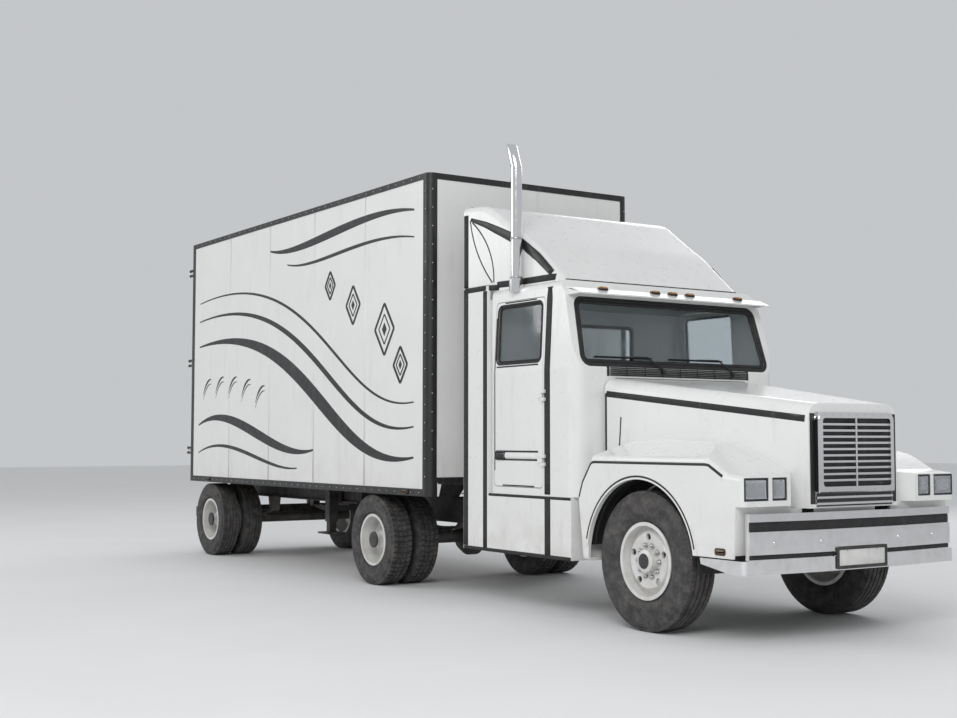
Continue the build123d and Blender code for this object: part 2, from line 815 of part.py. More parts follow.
def fuel_tanks():
    """A round tank each side, on two saddles bolted to the rail."""
    y = tank_y
    z = tank_z
    rear = cab_rear_x + 90
    front = cab_front_x - 160
    tank = fillet(rod_x(y, z, rear, front, tank_r).edges(), tank_end_r)
    saddle_top = rail_top - 20
    saddle_low = z - tank_r - 14
    saddle = [(rail_y + seat_gap, saddle_top), (rail_y + 30, saddle_top), (rail_y + 110, z - 80),
              (y + 40, z - tank_r + 12), (y + 40, saddle_low), (y - 80, saddle_low),
              (rail_y + seat_gap, rail_top - 230)]
    for x in (rear + 180, front - 180):
        tank += from_front(saddle, x - 30, x + 30)
    return both_sides(tank)


def engine_block():
    """The engine as one plain block on two cross feet."""
    front = front_axle_x + 640
    rear = front_axle_x - 690
    body = block(rear, front, -engine_half_width, engine_half_width, engine_bottom_z, engine_top_z)
    foot_half = rail_y - rail_web - seat_gap
    for x in (front - 160, rear + 160):
        body += block(x - 50, x + 50, -foot_half, foot_half, engine_bottom_z + 40, engine_bottom_z + 140)
    return body


def radiator():
    """A core between two tanks, standing on the front cross member."""
    front = radiator_place_x + radiator_thickness / 2
    z0 = rail_top - 40 + seat_gap
    half = rail_y - rail_flange - 20
    core = block(front - radiator_thickness, front, -half, half, z0, radiator_top_z - 10)
    for low, high in ((z0, z0 + 90), (radiator_top_z - 90, radiator_top_z)):
        core += block(front - 90, front + 12, -half - 12, half + 12, low, high)
    return core


def fifth_wheel():
    """A greased top plate with a V throat, on two feet bolted to the rails."""
    top = coupling_z
    under = top - fifth_wheel_t
    plate = rod_z(kingpin_x, 0, under, top, fifth_wheel_r)
    reach = fifth_wheel_r - 30
    plate &= block(kingpin_x - reach, kingpin_x + reach, -fifth_wheel_r, fifth_wheel_r, top - 60, top + 10)
    slot = kingpin_r + 1
    mouth_x = kingpin_x - fifth_wheel_r - 10
    throat = from_above([(kingpin_x, slot), (kingpin_x - 90, slot), (mouth_x, 190),
                         (mouth_x, -190), (kingpin_x - 90, -slot), (kingpin_x, -slot)],
                        top - 70, top + 10)
    plate -= throat
    plate -= rod_z(kingpin_x, 0, top - 70, top + 10, slot)
    for side in (1, -1):
        foot = from_front([(side * 250, under), (side * 410, under), (side * 440, rail_top + 14),
                           (side * 440, rail_top + seat_gap), (side * 350, rail_top + seat_gap)],
                          kingpin_x - 120, kingpin_x + 120)
        plate += foot
    return plate


# Hood, fenders and front end
def hood_block(inset):
    """The hood's outer form: a rounded section that narrows and falls to the front."""
    sections = []
    for x, half, top in ((hood_rear_x - 2 * abs(inset), hood_rear_half_width, hood_rear_top_z),
                         (hood_front_x - inset, hood_front_half_width, hood_front_top_z)):
        half -= inset
        top -= inset
        low = hood_bottom_z - 1
        face = make_face(Polyline((half, low), (half, top), (-half, top), (-half, low), close=True))
        corners = face.vertices().sort_by(Axis.Y)[-2:]
        face = fillet(corners, max(20, 110 - inset))
        sections.append(Plane(origin=(x, 0, 0), x_dir=(0, 1, 0), z_dir=(1, 0, 0)) * face)
    return loft(sections)


def arch_cut():
    """What the front wheels need open, through hood and fenders."""
    reach = cab_half_width + 100
    cut = rod_y(front_axle_x, front_tyre_r, -reach, reach, arch_r)
    return cut + block(front_axle_x - arch_r, front_axle_x + arch_r, -reach, reach, 0, front_tyre_r)


def hood_shell():
    """The tilting hood: top, sides and the front wall round the grille, with two hinge ears."""
    inner = hood_block(hood_shell_t)
    shell = hood_block(0) - inner
    half = grille_half_width
    shell -= block(hood_front_x - 120, hood_front_x + 20, -half, half, grille_bottom_z, grille_top_z)
    shell -= block(hood_rear_x - 200, hood_rear_x + 0.01, -1200, 1200, 0, 3000)
    shell -= arch_cut()
    ear_front = hood_front_x - hood_shell_t + 4
    for side in (1, -1):
        y0, y1 = sorted((side * (hood_hinge_y - 12), side * (hood_hinge_y + 12)))
        ear = from_side([(hood_hinge_x - 24, hood_hinge_z - 24), (hood_hinge_x - 24, hood_hinge_z + 24),
                         (ear_front, hood_hinge_z + 28), (ear_front, hood_hinge_z - 30)],
                        y0, y1, radius=[20, 20, 0, 0])
        ear -= rod_y(hood_hinge_x, hood_hinge_z, side * (hood_hinge_y - 20), side * (hood_hinge_y + 20),
                     hood_pin_r + seat_gap)
        shell += ear
    return shell


def fender_outline():
    """A fender in side view: a high crown over the wheel and a fall to the lamps."""
    ax = front_axle_x
    rear = hood_rear_x
    nose = fender_front_x
    return [(ax - 720, fender_bottom_z), (rear, hood_hinge_z), (rear + 40, 1130),
            (ax - 480, fender_crown_z), (ax + 560, fender_crown_z - 50),
            (nose - 180, fender_front_z + 20), (nose, fender_front_z),
            (nose, lamp_pod_bottom_z), (nose - 80, lamp_pod_bottom_z),
            (nose - 100, valance_top_z + 10), (ax + 560, valance_top_z + 10), (ax + 560, fender_bottom_z)]


def fender_block(inset):
    """A fender as a solid: its crown slopes out to the shoulder, and its pod ends short of the nose."""
    inner_y = hood_front_half_width + 2
    outer_y = cab_half_width - inset
    solid = from_side(fender_outline(), inner_y - inset, outer_y,
                      radius=[10, 30, 60, 260, 300, 60, 15, 0, 0, 0, 0, 0], inset=inset)
    slope = [(inner_y - inset, fender_crown_z + 70 - inset), (outer_y, fender_shoulder_z - inset),
             (outer_y, 0), (inner_y - inset, 0)]
    solid &= from_front(slope, hood_rear_x - 1, fender_front_x + 1)
    pod_start = fender_front_x - (lamp_pod_inner_y - inner_y)
    solid -= from_above([(pod_start, inner_y + inset), (fender_front_x + 1, lamp_pod_inner_y + 1 + inset),
                         (fender_front_x + 1, inner_y - 40), (pod_start - 40, inner_y - 40)],
                        hood_bottom_z, fender_crown_z + 100)
    shoulder = [e for e in solid.edges()
                if abs(e.center().Y - outer_y) < 1 and e.center().Z > hood_hinge_z + 40
                and e.center().X < fender_front_x - 30]
    return fillet(shoulder, fender_shoulder_r) if inset == 0 else solid


def fenders():
    """Hollow fenders with a rolled lip round each wheel arch and openings for the lamps."""
    fender = fender_block(0) - fender_block(hood_shell_t)
    lip = rod_y(front_axle_x, front_tyre_r, cab_half_width - hood_shell_t, cab_half_width + 12,
                arch_r + arch_lip)
    lip &= block(front_axle_x - 800, front_axle_x + 800, 1000, 1300, valance_top_z + 10, 1400)
    fender += lip
    fender -= arch_cut()
    fender -= block(front_axle_x + arch_r - 5, fender_front_x - 30, hood_front_half_width - 8,
                    cab_half_width - 10, 0, valance_top_z + 35)
    for y0, y1 in lamp_places:
        fender -= block(fender_front_x - 60, fender_front_x + 10, y0, y1,
                        lamp_bottom_z, lamp_bottom_z + lamp_height)
    fender -= hood_block(-seat_gap)
    return both_sides(fender)


def headlamps():
    """Two rectangular lamps a side: a bowl and a slightly domed lens."""
    lamps = None
    for y0, y1 in lamp_places:
        low = lamp_bottom_z + seat_gap
        high = lamp_bottom_z + lamp_height - seat_gap
        lamp = block(fender_front_x - 58, fender_front_x - 4, y0 + seat_gap, y1 - seat_gap, low, high)
        front_edges = lamp.edges().filter_by(Plane.YZ).group_by(Axis.X)[-1]
        lamp = chamfer(front_edges, 10)
        lamps = lamp if lamps is None else lamps + lamp
    return both_sides(lamps)


def grille():
    """A proud surround with cross bars in the hood's front wall, and a ribbed apron below it."""
    half = grille_half_width - seat_gap
    low = grille_bottom_z + seat_gap
    high = grille_top_z - seat_gap
    front = hood_front_x + grille_proud
    back = hood_front_x - hood_shell_t
    border = grille_border
    lip = from_front([(half, low), (half, high), (-half, high), (-half, low)],
                     hood_front_x, front, radius=[10, 60, 60, 10])
    lip = chamfer(lip.faces().sort_by(Axis.X)[-1].edges(), 8)
    frame = block(back, hood_front_x, -half, half, low, high) + lip
    frame -= from_front([(half - border, low + border), (half - border, high - border),
                         (-half + border, high - border), (-half + border, low + border)],
                        back - 1, front + 1, radius=25)
    pitch = (high - low - 2 * border) / grille_bars
    for i in range(1, grille_bars):
        z = low + border + pitch * i
        frame += block(back + 4, front - 14, -half + border - 2, half - border + 2,
                       z - grille_bar_h / 2, z + grille_bar_h / 2)
    frame += block(back + 4, front - 10, -9, 9, low + border - 2, high - border + 2)
    face = hood_front_x + grille_apron_proud
    apron = block(hood_front_x + seat_gap, face - 8, -half, half, grille_apron_z, low + 2)
    for z in (grille_apron_z + 12, grille_apron_z + 12 + pitch):
        apron += block(hood_front_x + seat_gap, face, -half, half, z, z + grille_bar_h)
    return frame + apron


def bumper_plan(inset):
    """The bumper seen from above: a swept face and rounded ends."""
    face = bumper_face_x
    half = bumper_half_width - inset
    tip = face - bumper_sweep
    tail = face - bumper_depth
    return [(face - inset, -bumper_flat_half), (face - inset, bumper_flat_half), (tip - inset, half),
            (tail, half), (tail, -half), (tip - inset, -half)]


def bumper():
    """Three bands with two deep grooves, side valances and a blank plate holder."""
    radii = [400, 400, 45, 0, 0, 45]
    skin = from_above(bumper_plan(0), bumper_bottom_z, bumper_top_z, radius=radii)
    inner_face = bumper_face_x - bumper_thickness
    inner_half = bumper_half_width - bumper_wall
    core = from_above([(inner_face, -bumper_flat_half), (inner_face, bumper_flat_half),
                       (inner_face - bumper_sweep, inner_half), (inner_face - 250, inner_half),
                       (inner_face - 250, -inner_half), (inner_face - bumper_sweep, -inner_half)],
                      bumper_bottom_z - 1, bumper_top_z + 1, radius=0)
    solid = skin - core
    tip = bumper_face_x - bumper_depth - 15
    groove = from_above(bumper_plan(-60), bumper_bottom_z, bumper_top_z, radius=radii)
    groove -= from_above(bumper_plan(groove_depth), bumper_bottom_z, bumper_top_z, radius=radii)
    for low, high in bumper_grooves:
        solid -= groove & block(tip, bumper_face_x + 210, -1400, 1400, low, high)
    for side in (1, -1):
        y0, y1 = sorted((side * inner_half, side * bumper_half_width))
        solid += from_side([(front_axle_x + 680, valance_top_z), (front_axle_x + 690, valance_tip_z),
                            (tip - 60, bumper_bottom_z), (tip + 20, bumper_bottom_z),
                            (tip + 20, valance_top_z)], y0, y1)
        y0, y1 = sorted((side * bumper_face_half_width, side * 1300))
        solid -= block(tip, bumper_face_x, y0, y1, valance_top_z, bumper_top_z + 1)
    half = plate_half_width
    low = plate_bottom_z
    high = plate_bottom_z + plate_height
    holder = block(bumper_face_x - 16, bumper_face_x + plate_proud, -half, half, low, high)
    holder -= block(bumper_face_x + plate_proud - 5, bumper_face_x + plate_proud + 1,
                    plate_rim - half, half - plate_rim, low + plate_rim, high - plate_rim)
    return solid + holder


# Trailer
def box_frame():
    """Posts, rails, header and sill, with the rear doors' hinge brackets."""
    rear = box_rear_x + rear_door_t + rear_door_gap
    front = box_front_x
    half = box_half_width
    low = box_bottom_z
    high = box_top_z
    frame = None
    side_inner = half - box_rail
    backing = half - panel_recess - box_panel - seat_gap
    pieces = [block(rear, front, side_inner, half, low, low + box_side_rail_h),
              block(rear, front, side_inner, backing, low, box_floor_top_z),
              block(rear, front, side_inner, half, high - box_top_rail_h, high),
              block(rear, rear + 80, half - 60, half, low, high)]
    for piece in pieces:
        pair = both_sides(piece)
        frame = pair if frame is None else frame + pair
    frame += block(rear, rear + 80, -half, half, high - 130, high)
    frame += block(rear, rear + 80, -half, half, low, box_floor_top_z)
    frame += block(front - box_post, front, -half, half, high - box_top_rail_h, high)
    frame += block(front - 60, front, -half, half, coupling_z + coupler_plate, nose_sill_top_z)
    frame += block(front - 60, front - panel_recess - box_panel - seat_gap, -half + 50, half - 50,
                   coupling_z + coupler_plate, box_floor_top_z)
    corner = block(front - box_post, front, half - box_post, half, low, high)
    corner -= block(front - box_post - 1, front - box_rail, half - box_post - 1, side_inner,
                    low - 1, high + 1)
    frame += both_sides(corner)
    nose_edges = [e for e in frame.edges().filter_by(Axis.Z)
                  if abs(e.center().X - front) < 1 and abs(abs(e.center().Y) - half) < 1]
    frame = fillet(nose_edges, nose_corner_r)
    for side in (1, -1):
        for level in rear_hinge_levels:
            frame += rear_hinge(level, side, False)
    return frame


def rear_hinge(level, side, on_door):
    """A rear door hinge: two fixed lugs with a pin, and the door's cranked strap between them."""
    axis_x = box_rear_x - rear_hinge_offset
    axis_y = side * rear_hinge_y
    if on_door:
        low, high = level - 13, level + 13
        near = side * (rear_hinge_y - 45)
        end = side * (rear_hinge_y - strap_reach)
        crank = from_above([(axis_x - 12, axis_y), (axis_x - 12, axis_y - side * 10),
                            (box_rear_x - 14, near), (box_rear_x - 14, end), (box_rear_x, end),
                            (box_rear_x, near + side * 10), (axis_x + 12, axis_y)], low, high)
        eye = rod_z(axis_x, axis_y, low, high, rear_eye_r)
        return (crank + eye) - rod_z(axis_x, axis_y, low - 5, high + 5, rear_pin_r + seat_gap)
    frame_face = box_rear_x + rear_door_t + rear_door_gap
    lugs = rod_z(axis_x, axis_y, level - 48, level + 48, rear_pin_r)
    for low, high in ((level - 48, level - 19), (level + 19, level + 48)):
        lugs += rod_z(axis_x, axis_y, low, high, rear_eye_r)
        lugs += block(axis_x, frame_face + 4, axis_y - side * 10, axis_y + side * 10, low, high)
    return lugs


def box_sides():
    """Flat side panels set a little inside the rails and posts."""
    rear = box_rear_x + rear_door_t + rear_door_gap + 80
    front = box_front_x - box_post
    outer = box_half_width - panel_recess
    return both_sides(block(rear, front, outer - box_panel, outer,
                            box_bottom_z + box_side_rail_h, box_top_z - box_top_rail_h))


def box_front_wall():
    """The flat nose panel between the corner posts."""
    half = box_half_width - box_post
    front = box_front_x - panel_recess
    return block(front - box_panel, front, -half, half, nose_sill_top_z, box_top_z - box_top_rail_h)


def box_roof():
    """A thin roof sheet on cross bows."""
    rear = box_rear_x + rear_door_t + rear_door_gap + 80
    front = box_front_x - box_post
    half = box_half_width - box_rail
    sheet = block(rear, front, -half, half, box_top_z - 22, box_top_z - 6)
    for i in range(roof_bows):
        x = rear + (front - rear) * (i + 0.5) / roof_bows
        sheet += block(x - 22, x + 22, -half, half, box_top_z - 62, box_top_z - 22)
    return sheet


def box_floor():
    """Floor boards on cross members."""
    rear = box_rear_x + rear_door_t + rear_door_gap + 80
    front = box_front_x - 60
    half = box_half_width - box_rail
    boards = block(rear, front, -half, half, box_floor_top_z - floor_board, box_floor_top_z)
    for i in range(floor_members):
        x = rear + (front - rear) * (i + 0.5) / floor_members
        boards += block(x - 30, x + 30, -half, half, coupling_z + coupler_plate + seat_gap,
                        box_floor_top_z - floor_board)
    return boards


def trailer_subframe():
    """Two deep beams, the coupler plate with its kingpin, and cross ties."""
    top = coupling_z + coupler_plate
    rear = box_rear_x + rear_door_t + rear_door_gap + 90
    front = kingpin_x - beam_start
    frame = None
    for side in (1, -1):
        beam = block(rear, front, side * (beam_y - beam_half_width), side * (beam_y + beam_half_width),
                     beam_bottom_z, top)
        for hand in (1, -1):
            beam -= block(rear - 1, front + 1, side * beam_y + hand * 7,
                          side * beam_y + hand * (beam_half_width + 1), beam_bottom_z + 16, top - 16)
        frame = beam if frame is None else frame + beam
    for x in (front - 60, (front + rear) / 2, rear + 120):
        frame += block(x - 30, x + 30, -beam_y, beam_y, beam_bottom_z + 60, top - 60)
    frame += block(front - 80, kingpin_x + 800, -600, 600, coupling_z + seat_gap, top)
    frame += rod_z(kingpin_x, 0, coupling_z - 95, coupling_z + 6, kingpin_r)
    return frame


def trailer_axle():
    """An axle tube on two leaf springs, hung from the beams."""
    z = rear_tyre_r
    axle = rod_y(trailer_axle_x, z, -(twin_y - 160), twin_y - 160, axle_tube_r)
    axle += rod_y(trailer_axle_x, z, -(twin_y + 112), twin_y + 112, rear_spindle_r)
    near = beam_y - 50
    far = beam_y + 50
    hanger_top = beam_bottom_z - seat_gap
    spring = leaf_spring(trailer_axle_x, beam_y, trailer_spring_length, z + 140, 50, 80, 32)
    spring += block(trailer_axle_x - 70, trailer_axle_x + 70, near, far, z + 20, z + 80)
    reach = trailer_spring_length / 2 - 20
    for hanger_x in (trailer_axle_x - reach, trailer_axle_x + reach):
        spring += from_side([(hanger_x - 80, hanger_top), (hanger_x + 80, hanger_top),
                             (hanger_x + 40, z + 110), (hanger_x - 40, z + 110)], near, far)
    return axle + both_sides(spring)


def landing_gear():
    """Two square legs drawn up, with feet, a cross tube and plates to the beams."""
    x = kingpin_x - landing_leg_setback
    y = beam_y + 130
    half = landing_leg_half
    foot_top = landing_foot_z + landing_foot_t
    sleeve = foot_top + 120
    head = beam_bottom_z + 260
    leg = block(x - half, x + half, y - half, y + half, sleeve, head)
    leg += block(x - 42, x + 42, y - 42, y + 42, foot_top, sleeve)
    leg += block(x - 130, x + 130, y - 110, y + 110, landing_foot_z, foot_top)
    leg += block(x - 90, x + 90, beam_y + beam_half_width + seat_gap, y - half, beam_bottom_z, head)
    brace = block(x - 30, x + 30, -y, y, beam_bottom_z - 100, beam_bottom_z - 40)
    return both_sides(leg) + brace


def rear_guard():
    """An under-run bar on two uprights below the beams."""
    x0 = box_rear_x + rear_door_t + rear_door_gap + 5
    x1 = x0 + guard_depth
    top = guard_bottom_z + guard_height
    bar = block(x0, x1, -guard_half_width, guard_half_width, guard_bottom_z, top)
    for side in (1, -1):
        bar += block(x0, x1, side * (beam_y - 45), side * (beam_y + 45), top, box_bottom_z - seat_gap)
    return bar


def rear_door(side):
    """A swing door with two lock rods, their keepers and a handle."""
    inner = box_rear_x + rear_door_t
    low = box_bottom_z + 25
    high = box_top_z - 25
    near = side * 4
    edge = side * (rear_hinge_y - 25)
    door = block(box_rear_x, inner, near, edge, low, high)
    for place in lock_rod_places:
        y = side * place
        door += rod_z(box_rear_x - 27, y, low + 30, high - 30, lock_rod_r)
        for z in (low + 70, *keeper_levels, high - 70):
            door += block(box_rear_x - 43, box_rear_x, y - keeper_half, y + keeper_half, z - 26, z + 26)
    grip = lock_handle_z
    door += block(box_rear_x - 42, box_rear_x - 28, side * 240, side * 700, grip, grip + 40)
    door += block(box_rear_x - 42, box_rear_x, side * 660, side * 700, grip - 20, grip + 60)
    for level in rear_hinge_levels:
        door += rear_hinge(level, side, True)
    return door


# Assembly
keep("frame_rails", frame_rails())
keep("front_axle", front_axle())
keep("suspension", suspension())
keep("drive_axle", drive_axle())
keep("engine_block", engine_block())
keep("radiator", radiator())
keep("fuel_tanks", fuel_tanks())
keep("fifth_wheel", fifth_wheel())
keep("cab_shell", cab_shell())
keep("cab_glass", cab_glass())
keep("sun_visor", sun_visor())
keep("roof_fairing", roof_fairing())
keep("side_fairings", side_fairings())
keep("dashboard", dashboard())
keep("steering_wheel", steering_wheel())
keep("seats", seats())
keep("exhaust_stack", exhaust_stack())
keep("bumper", bumper())
keep("hood_shell", hood_shell())
keep("fenders", fenders())
keep("headlamps", headlamps())
keep("grille", grille())
keep("box_frame", box_frame())
keep("box_sides", box_sides())
keep("box_front_wall", box_front_wall())
keep("box_roof", box_roof())
keep("box_floor", box_floor())
keep("trailer_subframe", trailer_subframe())
keep("trailer_axle", trailer_axle())
keep("landing_gear", landing_gear())
keep("rear_guard", rear_guard())
for hand, side in (("left", 1), ("right", -1)):
    keep(f"knuckle_{hand}", knuckle(side))
    keep(f"front_tyre_{hand}", tyre(front_axle_x, side * front_wheel_y, front_tyre_r,
                                    front_tyre_r, front_rim_r, front_tyre_w))
    keep(f"front_rim_{hand}", front_rim(side))
    keep(f"drive_tyres_{hand}", twin_tyres(drive_axle_x, side))
    keep(f"drive_rims_{hand}", twin_rims(drive_axle_x, side))
    keep(f"trailer_tyres_{hand}", twin_tyres(trailer_axle_x, side))
    keep(f"trailer_rims_{hand}", twin_rims(trailer_axle_x, side))
    keep(f"cab_door_{hand}", cab_door(side))
    keep(f"door_glass_{hand}", door_glass(side))
    keep(f"rear_door_{hand}", rear_door(side))

os.makedirs("parts", exist_ok=True)
for name, solid in parts.items():
    export_step(solid, f"parts/{name}.step")
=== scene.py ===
"""Looks of the articulated lorry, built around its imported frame. Metres, +X forward, +Y left, +Z up."""
from math import cos, pi, radians, sin, sqrt, tan, tau
import bmesh
import bpy
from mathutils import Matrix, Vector
from mathutils.bvhtree import BVHTree


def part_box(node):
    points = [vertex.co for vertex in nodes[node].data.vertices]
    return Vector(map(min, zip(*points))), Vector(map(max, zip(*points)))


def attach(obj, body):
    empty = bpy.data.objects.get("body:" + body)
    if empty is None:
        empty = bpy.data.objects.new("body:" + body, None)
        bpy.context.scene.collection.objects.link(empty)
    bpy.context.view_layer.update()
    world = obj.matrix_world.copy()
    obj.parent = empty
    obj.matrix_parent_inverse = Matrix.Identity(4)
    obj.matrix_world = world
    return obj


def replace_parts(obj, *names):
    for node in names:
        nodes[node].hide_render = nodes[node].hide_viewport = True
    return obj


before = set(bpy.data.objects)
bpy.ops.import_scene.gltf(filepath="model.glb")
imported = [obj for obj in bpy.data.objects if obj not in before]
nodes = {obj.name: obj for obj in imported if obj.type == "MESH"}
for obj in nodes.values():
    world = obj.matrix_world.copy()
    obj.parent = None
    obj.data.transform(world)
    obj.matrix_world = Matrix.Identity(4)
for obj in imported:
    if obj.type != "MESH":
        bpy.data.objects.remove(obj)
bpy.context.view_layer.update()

# Places read from the frame
front_low, front_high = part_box("front_tyre_left")
drive_low, drive_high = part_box("drive_tyres_left")
trailer_low, trailer_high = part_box("trailer_tyres_left")
cab_low, cab_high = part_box("cab_shell")
box_low, box_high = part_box("box_frame")
wall_low, wall_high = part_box("box_sides")
hood_low, hood_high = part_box("hood_shell")
bumper_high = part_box("bumper")[1]
fairing_low, fairing_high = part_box("roof_fairing")
extender_low, extender_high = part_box("side_fairings")
grille_low, grille_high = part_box("grille")
front_axle_x = (front_low.x + front_high.x) / 2
drive_axle_x = (drive_low.x + drive_high.x) / 2
trailer_axle_x = (trailer_low.x + trailer_high.x) / 2
front_radius = (front_high.z - front_low.z) / 2
rear_radius = (drive_high.z - drive_low.z) / 2
HANDS = {"left": 1, "right": -1}
SIDES = (1, -1)


# Forms
def run_frames(points, normals, closed):
    """Each point of a run with its normal and side direction; a run without normals carries one on."""
    points = [Vector(p) for p in points]
    last = len(points) - 1
    frames = []
    normal = None
    for i, point in enumerate(points):
        before = points[i - 1] if i or closed else point
        after = points[(i + 1) % len(points)] if i < last or closed else point
        tangent = (after - before).normalized()
        if normals:
            normal = Vector(normals[i]).normalized()
        elif normal is None:
            normal = tangent.orthogonal().normalized()
        normal = (normal - tangent * normal.dot(tangent)).normalized()
        frames.append((point, normal, tangent.cross(normal)))
    return frames


class Builder:
    """Collects vertices and faces of many small forms into one mesh."""

    def __init__(self):
        self.vertices = []
        self.faces = []

    def add(self, vertices, faces):
        start = len(self.vertices)
        self.vertices.extend(vertices)
        self.faces.extend(tuple(start + i for i in face) for face in faces)

    def joined(self, rings, closed=False, ends=(-1, 1)):
        """Faces between rings of equal count; an open run gets caps, turned as its ends say."""
        count = len(rings[0])
        last = len(rings) - 1
        pairs = [(i, i + 1) for i in range(last)]
        if closed:
            pairs.append((last, 0))
        faces = []
        for a, b in pairs:
            for k in range(count):
                n = (k + 1) % count
                if ends[1] < 0:
                    k, n = n, k
                faces.append((a * count + k, a * count + n, b * count + n, b * count + k))
        if not closed:
            for row, turn in zip((0, last), ends):
                faces.append(tuple(range(row * count, row * count + count))[::turn])
        self.add([v for ring in rings for v in ring], faces)

    def box(self, low, high):
        """An upright box between two corners."""
        x0, y0, z0 = (min(a, b) for a, b in zip(low, high))
        x1, y1, z1 = (max(a, b) for a, b in zip(low, high))
        self.add([Vector((x, y, z)) for z in (z0, z1) for y in (y0, y1) for x in (x0, x1)],
                 [(0, 2, 3, 1), (4, 5, 7, 6), (0, 1, 5, 4), (2, 6, 7, 3), (0, 4, 6, 2), (1, 3, 7, 5)])

    def turned(self, centre, axis, outline, sides):
        """A turned form: outline is (radius, distance along the axis), capped at both ends."""
        centre = Vector(centre)
        axis = Vector(axis).normalized()
        across = axis.orthogonal().normalized()
        up = axis.cross(across)
        spokes = [across * cos(tau * k / sides) + up * sin(tau * k / sides) for k in range(sides)]
        self.joined([[centre + axis * distance + spoke * radius for spoke in spokes]
                     for radius, distance in outline])

    def on_face(self, met, outline, sides, lift=-0.002):
        """A turned form that stands on a skin at a met point."""
        self.turned(met[0] + met[1] * lift, met[1], outline, sides)

    def tube(self, points, radius):
        """A round bar along a list of points."""
        sides = 8
        self.joined([[point + (normal * cos(tau * k / sides) + side * sin(tau * k / sides)) * radius
                      for k in range(sides)] for point, normal, side in run_frames(points, None, False)])

    def band(self, points, normals, width, height, closed=False, crown=0.35):
        """A low rounded strip laid on a surface along points; width is a number, or one for each point."""
        half = ((-0.5, 0.0), (-0.46, crown), (-0.3, 0.85), (0.0, 1.0))
        section = half + tuple((-a, h) for a, h in half[-2::-1])
        widths = width if isinstance(width, list) else [width] * len(points)
        self.joined([[point + side * (a * wide) + normal * (h * height) for a, h in section]
                     for (point, normal, side), wide in zip(run_frames(points, normals, closed), widths)],
                    closed, (1, -1))

    def strip(self, skin, look, route, width, height, pitch=0.12, closed=False):
        """A band that follows a skin along a flat route, sunk by a hair."""
        points, normals = laid(skin, look, spaced(route, pitch, closed))
        self.band(points, normals, width, height + SINK, closed)

    def lines(self, skin, look, rows, pitch=0.12):
        """Straight strips: each row has both ends, a width and a height."""
        for u0, v0, u1, v1, width, height in rows:
            self.strip(skin, look, [(u0, v0), (u1, v1)], width, height, pitch)

    def framed(self, look, face, out, shape, steps, radius, ring=False):
        """Rounded rectangles stacked outwards: steps are (inset, distance) and may end in a radius."""
        loops = []
        for inset, distance, *own in steps:
            loops.append(loop(look, oblong(*shape, inset), own[0] if own else radius, face + out * distance))
        self.joined(loops, ring, (1, 1))

    def piece(self, name, material, body="tractor", slot=None, crease=None, smooth=True):
        """The collected forms as one object that rides on a body, with their faces turned outwards."""
        mesh = bpy.data.meshes.new(name)
        mesh.from_pydata([tuple(v) for v in self.vertices], [], self.faces)
        mesh.validate()
        mesh.update()
        for polygon in mesh.polygons:
            polygon.use_smooth = smooth
        made = bpy.data.objects.new(name, mesh)
        bpy.context.scene.collection.objects.link(made)
        mesh.materials.append(material)
        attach(made, body)
        bm = bmesh.new()
        bm.from_mesh(mesh)
        bmesh.ops.recalc_face_normals(bm, faces=bm.faces)
        bm.to_mesh(mesh)
        bm.free()
        if crease:
            flat_where_sharp(made, crease)
        return made


def builders(count):
    """Some builders at once."""
    return [Builder() for _ in range(count)]


def bevel(piece, width):
    """Rounds a piece's sharp edges and keeps its flats flat."""
    modifier = piece.modifiers.new("round", "BEVEL")
    modifier.width = width
    modifier.segments = 2
    modifier.limit_method = "ANGLE"
    modifier.angle_limit = radians(35)
    apply_modifiers(piece)


def apply_modifiers(piece):
    """Replaces a piece's mesh with what its modifiers make."""
    bpy.context.view_layer.update()
    shown = piece.evaluated_get(bpy.context.evaluated_depsgraph_get())
    mesh = bpy.data.meshes.new_from_object(shown)
    piece.modifiers.clear()
    old = piece.data
    piece.data = mesh
    bpy.data.meshes.remove(old)


def flat_where_sharp(piece, angle):
    """Smooth shading with creases kept at sharp edges."""
    mesh = piece.data
    for polygon in mesh.polygons:
        polygon.use_smooth = True
    bm = bmesh.new()
    bm.from_mesh(mesh)
    limit = radians(angle)
    for edge in bm.edges:
        edge.smooth = len(edge.link_faces) == 2 and edge.calc_face_angle(0) < limit
    bm.to_mesh(mesh)
    bm.free()


# Procedural materials
ROAD_DUST = (0.42, 0.38, 0.32)


def scaled(colour, share):
    return tuple(c * share for c in colour)


